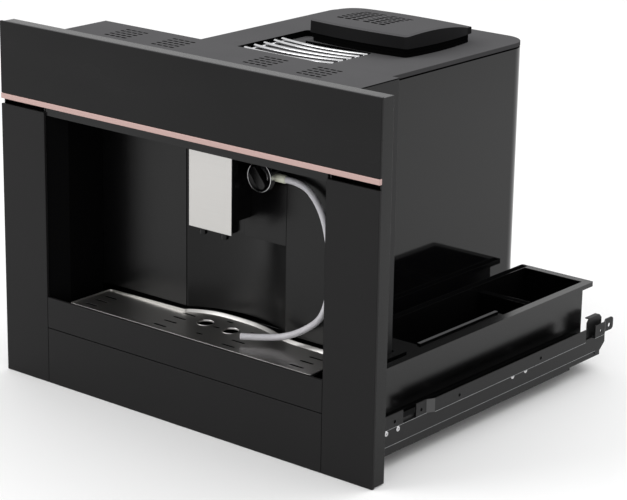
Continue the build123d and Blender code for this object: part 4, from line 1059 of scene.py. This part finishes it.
class COFFEE_OT_spout(bpy.types.Operator):
    """Coffee spout: brushed front plate, black carriage and two nozzles"""

    bl_idname = "coffee.spout"
    bl_label = "Spout"

    nozzle_y = 14.75
    nozzle_x = (6.5, 40.5)
    nozzle_drop = 2.5

    def execute(self, context):
        plate = ease(block(*node_box("spout_plate")), 0.5, 3)
        stand_in("spout_front_plate", plate, "spout_plate", angle=60)
        refine(("spout_block",), sizes().moulded_edge / MM, 3)
        low, high = node_box("spout_nozzles")
        low.z -= self.nozzle_drop
        height = high.z - low.z
        profile = (
            (2, 0), (3.6, 0), (4.4, 0.5), (5, 2.6),
            (5.0, height), (2.0, height), (2.0, 0.0),
        )
        feet = [(x, self.nozzle_y, low.z) for x in self.nozzle_x]
        nozzles = together(*[turned(profile, 32, foot) for foot in feet])
        stand_in("spout_nozzle_pair", nozzles, "spout_nozzles", angle=40)
        return {"FINISHED"}


# ---- body, rails, hopper
class COFFEE_OT_body(bpy.types.Operator):
    """Gloss body and the cover with its cup recess"""

    bl_idname = "coffee.body"
    bl_label = "Body and cover"

    wall = 1.2
    recess = (
        (-110, 200), (40, 200), (40, 291.7), (-72, 291.7), (-72, 346), (-110, 346),
    )
    recess_z = 389.0
    recess_height = 20.0
    recess_corner = 6.0
    funnel = (4.0, 362.0, 54.6)  # x, y and radius
    funnel_reach = 40.0
    lip_height = 5.5
    # Painted light on the outside of the cover's lip, as a share of the grey.
    lip_painted_light = 0.45
    neck_inset = 4.0
    lap = 0.01
    outer_distance = 50.0  # the cover's outside is further than this from its middle

    def plan(self, low, high, z, inset=0.0):
        """Plan of the body: square in front, round corners at the rear."""
        corners = rectangle(low.x + inset, low.y, high.x - inset, high.y - inset)
        shape = flat(corners, z)
        rear = [v for v in shape.verts if v.co.y > high.y - inset - 1]
        round_corners(shape, sizes().body_corner / MM - inset, 24, rear)
        return shape

    def execute(self, context):
        low, high = node_box("body_shell")
        shell = raised(self.plan(low, high, low.z), high.z - low.z)
        ease(opened(shell, self.wall), 0.3, 2, 60)
        stand_in("body_gloss_shell", shell, "body_shell", angle=40)
        low, high = node_box("top_cover")
        lip_z = high.z - self.lip_height
        lip = raised(self.plan(low, high, lip_z), high.z - lip_z)
        ease(lip, 0.9, 4, 50, above(high.z - 0.1))
        neck = self.plan(low, high, low.z, self.neck_inset)
        raised(neck, lip_z - low.z + self.lap)
        well = flat(self.recess, self.recess_z)
        round_corners(well, self.recess_corner, 6)
        raised(well, self.recess_height)
        x, y, radius = self.funnel
        mouth = round_bar(radius, self.funnel_reach, 64, (x, y, high.z))
        top = cut(cut(lip, well.copy()), mouth.copy())
        base = cut(cut(neck, well), mouth)
        middle = (low + high) / 2

        def tone(face):
            """Painted light: grey on the tops, half grey on the outside of the lip."""
            place = face.calc_center_median()
            distance = face.normal.dot(place - middle)
            outer = place.z > lip_z and distance > self.outer_distance
            return max(upward(face), self.lip_painted_light if outer else 0.0)

        stand_in("cover_top", together(top, base), "top_cover", tone=tone)
        return {"FINISHED"}


class COFFEE_OT_cup_rails(bpy.types.Operator):
    """Five bowed chrome rods for cups, on two cross bars"""

    bl_idname = "coffee.cup_rails"
    bl_label = "Cup rails"

    left_x = -105.0
    right_x = 35.0
    bow = 9.0
    rod_radius = 2.2
    rod_z = 394.5
    bar_radius = 2.2
    bar_start = 211.0
    bar_z = 391.5
    bar_inset = 4.4

    def rod(self, left_y, right_y):
        """One rod: a round section swept along an arc through its ends."""
        start = Vector((self.left_x, left_y))
        end = Vector((self.right_x, right_y))
        half = (end - start).length / 2
        radius = (half**2 + self.bow**2) / (2 * self.bow)
        across = Vector((start.y - end.y, end.x - start.x)).normalized()
        centre = (start + end) / 2 + across * (radius - self.bow)
        shape = bmesh.new()
        bmesh.ops.create_circle(
            shape, cap_ends=True, segments=18, radius=self.rod_radius
        )
        along = (start - centre).orthogonal().normalized()
        turn = facing((along.x, along.y, 0))
        move = Matrix.Translation((start.x, start.y, self.rod_z)) @ turn
        bmesh.ops.transform(shape, matrix=move, verts=shape.verts)
        bmesh.ops.spin(
            shape,
            geom=shape.verts[:] + shape.edges[:] + shape.faces[:],
            cent=(centre.x, centre.y, self.rod_z),
            axis=UP,
            angle=2 * math.asin(half / radius),
            steps=28,
            use_duplicate=False,
        )
        bmesh.ops.recalc_face_normals(shape, faces=shape.faces)
        return ease(shape, 1.0, 3, 60)

    def execute(self, context):
        ends = zip(ROD_LEFT_ROWS, ROD_RIGHT_ROWS)
        rods = [self.rod(left, right) for left, right in ends]
        radius = self.bar_radius
        profile = (
            (0.0, 0.0), (radius - 0.4, 0.0), (radius, 0.4),
            (radius, 79.4), (radius - 0.4, 79.8), (0.0, 79.8),
        )
        bars = [
            turned(profile, 24, (x, self.bar_start, self.bar_z), (0, 1, 0))
            for x in (self.left_x + self.bar_inset, self.right_x - self.bar_inset)
        ]
        stand_in("cup_rail_rods", together(*rods, *bars), "cup_rails")
        return {"FINISHED"}


class COFFEE_OT_hopper(bpy.types.Operator):
    """Bean hopper, its grind dial and the crowned lid with its slotted field"""

    bl_idname = "coffee.hopper"
    bl_label = "Bean hopper and lid"

    low = Vector((-63.0, 298.0))
    high = Vector((87.0, 431.0))
    bow = 6.0
    corner = 6.0
    seam_z = 401.8
    seam_height = 0.7
    seam_inset = -1.0
    seam_width = 1.7
    lid_corner = 1.5
    lid_over = 3.0
    lid_wall = 10.0
    lid_slices = 12
    shoulder = (2.6, 1.2)  # widths of the two bands round the lid's top
    edge_drop = 1.9
    edge_pull = 0.5
    hollow = ((2.0, 0.0), (0.1, -3.2))  # width and depth of its two steps
    skirt_z = 408.6
    crown_z = 426.0
    crown_reach = 9.0  # the crown's curve begins this far outside the hopper
    slot_floor = 423.0
    slot_length = 10.5
    slot_width = 4.2
    slot_height = 14.0
    slot_columns = (-33, -20.5, -8, 9, 21.5, 34)
    slot_rows = (317, 325, 333, 341, 349, 357, 365)
    slot_stagger = 1.2

    def plan(self, inset, z, corner):
        """Plan of the hopper: bulging sides and round corners."""
        low = self.low + Vector((inset, inset))
        high = self.high - Vector((inset, inset))
        shape = flat(rectangle(low.x, low.y, high.x, high.y), z)
        round_corners(shape, corner - inset, 10)
        long_sides = [edge for edge in shape.edges if edge.calc_length() > self.corner]
        bmesh.ops.subdivide_edges(shape, edges=long_sides, cuts=14)
        centre = (low + high) / 2
        half = (high - low) / 2
        for vert in shape.verts:
            u = (vert.co.x - centre.x) / half.x
            v = (vert.co.y - centre.y) / half.y
            vert.co.x += self.bow * u * (1 - v * v)
            vert.co.y += self.bow * v * (1 - u * u)
        return shape

    def crown(self, x, y):
        """Height of the lid's top."""
        reach = self.crown_reach
        t = (y - self.low.y + reach) / (self.high.y - self.low.y + 2 * reach)
        u = (x - (self.low.x + self.high.x) / 2) / (self.high.x - self.low.x)
        return self.crown_z + 23.3 * t - 33.3 * t * t - 5.0 * u * u

    def lid(self):
        """The lid: a crowned top, a shoulder, an upright wall and a hollow below."""
        plan = self.plan(-self.lid_over, self.skirt_z, self.lid_corner)
        shape = raised(plan, self.lid_wall)
        top = [face for face in shape.faces if face.normal.z > 0.9]
        for width in self.shoulder:
            self.inset(shape, top, width)
        for step in range(1, self.lid_slices):
            x = self.low.x + (self.high.x - self.low.x) * step / self.lid_slices
            self.slice(shape, (x, 0, 0), (1, 0, 0))
            y = self.low.y + (self.high.y - self.low.y) * step / self.lid_slices
            self.slice(shape, (0, y, 0), (0, 1, 0))
        centre = (self.low + self.high) / 2
        rim = self.skirt_z + self.lid_wall
        for vert in shape.verts:
            if vert.co.z > rim - 0.01:
                vert.co.z = self.crown(vert.co.x, vert.co.y)
        high = [vert for vert in shape.verts if vert.co.z > rim - 0.01]
        for vert in [vert for vert in high if self.on_side(vert)]:
            vert.co.z -= self.edge_drop
            pull = (vert.co.xy - centre).normalized() * self.edge_pull
            vert.co.x -= pull.x
            vert.co.y -= pull.y
        below = [face for face in shape.faces if face.normal.z < -0.9]
        for width, depth in self.hollow:
            self.inset(shape, below, width, depth)
        return shape

    def inset(self, shape, faces, width, depth=0.0):
        bmesh.ops.inset_region(
            shape, faces=faces, thickness=width, depth=depth, use_even_offset=True
        )

    def top(self, face):
        """Painted light and shade: grey where the lid faces up, and black on the floors
        of its slots as painted shade.
        """
        floor = abs(face.calc_center_median().z - self.slot_floor) < 0.01
        return 0.0 if floor else min(1.0, 4 * upward(face))

    def on_side(self, vert):
        """True where a vertex belongs to the lid's outer wall."""
        return any(abs(face.normal.z) < 0.3 for face in vert.link_faces)

    def slice(self, shape, place, way):
        bmesh.ops.bisect_plane(
            shape,
            geom=shape.verts[:] + shape.edges[:] + shape.faces[:],
            dist=0.0001,
            plane_co=place,
            plane_no=way,
        )

    def execute(self, context):
        plan = self.plan(self.seam_inset, self.seam_z, self.corner)
        seam = opened(raised(plan, self.seam_height), self.seam_width)
        hopper = cut(node_copy("bean_hopper"), seam)
        ease(hopper, 0.5, 2, 40)
        stand_in("bean_hopper_seamed", hopper, "bean_hopper", slot="cover_grey")
        refine(("grind_dial",), 0.5)
        places = [
            (x + step * self.slot_stagger, y)
            for step, y in enumerate(self.slot_rows)
            for x in self.slot_columns
        ]
        cutter = slots(places, self.slot_length, self.slot_width, self.slot_floor)
        lid = cut(self.lid(), raised(cutter, self.slot_height))
        # Painted light on the lid's tops and painted shade on its slot floors.
        stand_in("hopper_lid_crowned", lid, "hopper_lid", angle=28, tone=self.top)
        return {"FINISHED"}


# ---- tub, slides, rear fittings
class COFFEE_OT_storage_tub(bpy.types.Operator):
    """Storage tub beside the body, with painted shade on its inner rim and divider, and
    painted light on the edge bar of its ledge
    """

    bl_idname = "coffee.storage_tub"
    bl_label = "Storage tub"

    # Painted shade: black matt strips on the inner rim, where the glossy tub mirrors
    # the dark body, and on the top of the divider.
    painted_shade_faces = (
        ((153.8, 101.0, 101.8), (163.2, 475.0, 102.1)),
        ((164.1, 365.4, 92.8), (252.9, 375.6, 93.1)),
    )

    def execute(self, context):
        refine(("storage_tub",), 0.9, 3)
        matt = together(*[block(low, high) for low, high in self.painted_shade_faces])
        add_piece("tub_painted_shade_faces", matt, "storage_tub", "cover_grey")
        # Painted light: the edge bar's top faces are painted grey, its sides black.
        refine(("tub_edge_bar",), 0.5, 3, slot="cover_grey", tone=upward)
        return {"FINISHED"}


class COFFEE_OT_slides(bpy.types.Operator):
    """Floor plate, side brackets, telescopic slides, stops and rivets"""

    bl_idname = "coffee.slides"
    bl_label = "Slides and brackets"

    rivet_rows = (30, 52, 284, 312)
    rivet_z = 28.5
    head_x = 275.0
    # Profile of a rivet: radius, and distance outward from the sheet.
    rivet = (
        (0, -3), (1.45, -3), (1.45, 0), (3.3, 0), (3.3, 0.5), (2.9, 1),
        (2.1, 1.2), (1, 1.1), (0.75, 0.8), (0.75, -0.4), (0, -0.4),
    )
    # Painted highlight on the joggles that face the front.
    joggle_highlight_share = 0.16
    # Painted highlight: bright metal strips along the bracket's bends stand in for the
    # light the rounded bends catch.
    bend_highlight_height = 0.5
    bend_highlight_inside = 0.2
    bend_highlight_outside = 0.12
    # Along Y, with the height of the bend and the outside of the sheet.
    bend_highlight_edges = (
        (25, 117, 32, 275),
        (117, 441, 32, 280),
        (463, 485, 32, 280),
        (25, 472, 11.3, 275),
    )

    def joggle_painted_highlight(self, face):
        """Painted highlight: the paint is made paler where the joggles face the front
        and catch the light.
        """
        joggle = 0.3 < abs(face.normal.x) < 0.98 and face.normal.y < -0.2
        return self.joggle_highlight_share if joggle else 0.0

    def bend_highlight(self, side):
        """Painted highlight along the bends of the bracket on one side: strips of
        bright metal.
        """
        half = self.bend_highlight_height / 2
        strips = []
        for front, rear, z, sheet in self.bend_highlight_edges:
            reach = (sheet - self.bend_highlight_inside, sheet + self.bend_highlight_outside)
            near, far = sorted(side * x for x in reach)
            strips.append(block((near, front, z - half), (far, rear, z + half)))
        return together(*strips)

    def execute(self, context):
        edge = sizes().sheet_edge / MM
        refine(("base_plate", "chassis_pan"), edge)
        for node in ("rail_bracket_right", "rail_bracket_left"):
            eased = ease(node_copy(node), edge, 2, 50)
            stand_in(node + "_eased", eased, node, angle=10, tone=self.joggle_painted_highlight)
        # Painted highlight strips on both brackets.
        edges = together(self.bend_highlight(-1), self.bend_highlight(1))
        add_piece("bracket_bend_highlight_edges", edges, "cabinet_side", "zinc_steel")
        refine(("slide_stop_right", "slide_stop_left"), 0.3, slot="steel_black")
        for side in ("right", "left"):
            members = [f"slide_{part}_{side}" for part in ("outer", "middle", "inner")]
            refine(members, 0.3)
        rivets = [
            turned(self.rivet, 28, (side * self.head_x, y, self.rivet_z), (side, 0, 0))
            for side in (-1, 1)
            for y in self.rivet_rows
        ]
        stand_in("slide_rivet_heads", together(*rivets), "slide_rivets")
        return {"FINISHED"}


class COFFEE_OT_rear_fittings(bpy.types.Operator):
    """Water tank with its cradle and lid, and the mains inlet"""

    bl_idname = "coffee.rear_fittings"
    bl_label = "Tank and inlet"

    def execute(self, context):
        refine(("water_tank", "tank_lid", "tank_cradle"), 0.8, 3)
        refine(("power_inlet",), 0.4)
        return {"FINISHED"}


class COFFEE_OT_inner_works(bpy.types.Operator):
    """Inner works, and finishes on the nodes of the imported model"""

    bl_idname = "coffee.inner_works"
    bl_label = "Inner works"

    works = (
        "inner_bench", "brew_group", "boiler",
        "grinder_motor", "burr_housing", "pump",
    )

    def execute(self, context):
        refine(self.works, 0.8)
        for name, node in frame["nodes"].items():
            node.data.materials.clear()
            node.data.materials.append(finish_of(NODE_SLOT[name]))
        return {"FINISHED"}


# ---- panel and registration
MAKING_ORDER = (
    COFFEE_OT_stage,
    COFFEE_OT_milk_hose,
    COFFEE_OT_milk_outlet,
    COFFEE_OT_fascia,
    COFFEE_OT_niche,
    COFFEE_OT_housing,
    COFFEE_OT_drip_tray,
    COFFEE_OT_spout,
    COFFEE_OT_body,
    COFFEE_OT_cup_rails,
    COFFEE_OT_hopper,
    COFFEE_OT_storage_tub,
    COFFEE_OT_slides,
    COFFEE_OT_rear_fittings,
    COFFEE_OT_inner_works,
)


class COFFEE_PT_machine(bpy.types.Panel):
    """Sizes, colours and makers of the coffee machine"""

    bl_label = "Coffee machine"
    bl_idname = "COFFEE_PT_machine"
    bl_space_type = "VIEW_3D"
    bl_region_type = "UI"
    bl_category = "Coffee"

    def draw(self, context):
        for settings in (context.scene.coffee_sizes, context.scene.coffee_colours):
            box = self.layout.box()
            for name in settings.__annotations__:
                box.prop(settings, name)
        for maker in MAKING_ORDER:
            self.layout.operator(maker.bl_idname)


CLASSES = (CoffeeSizes, CoffeeColours, *MAKING_ORDER, COFFEE_PT_machine)


def register():
    for kind in CLASSES:
        bpy.utils.register_class(kind)
    bpy.types.Scene.coffee_sizes = bpy.props.PointerProperty(type=CoffeeSizes)
    bpy.types.Scene.coffee_colours = bpy.props.PointerProperty(type=CoffeeColours)


def unregister():
    del bpy.types.Scene.coffee_colours
    del bpy.types.Scene.coffee_sizes
    for kind in reversed(CLASSES):
        bpy.utils.unregister_class(kind)


def main():
    """Makes every piece in order."""
    register()
    for maker in MAKING_ORDER:
        group, name = maker.bl_idname.split(".")
        getattr(getattr(bpy.ops, group), name)()


if __name__ == "__main__":
    main()
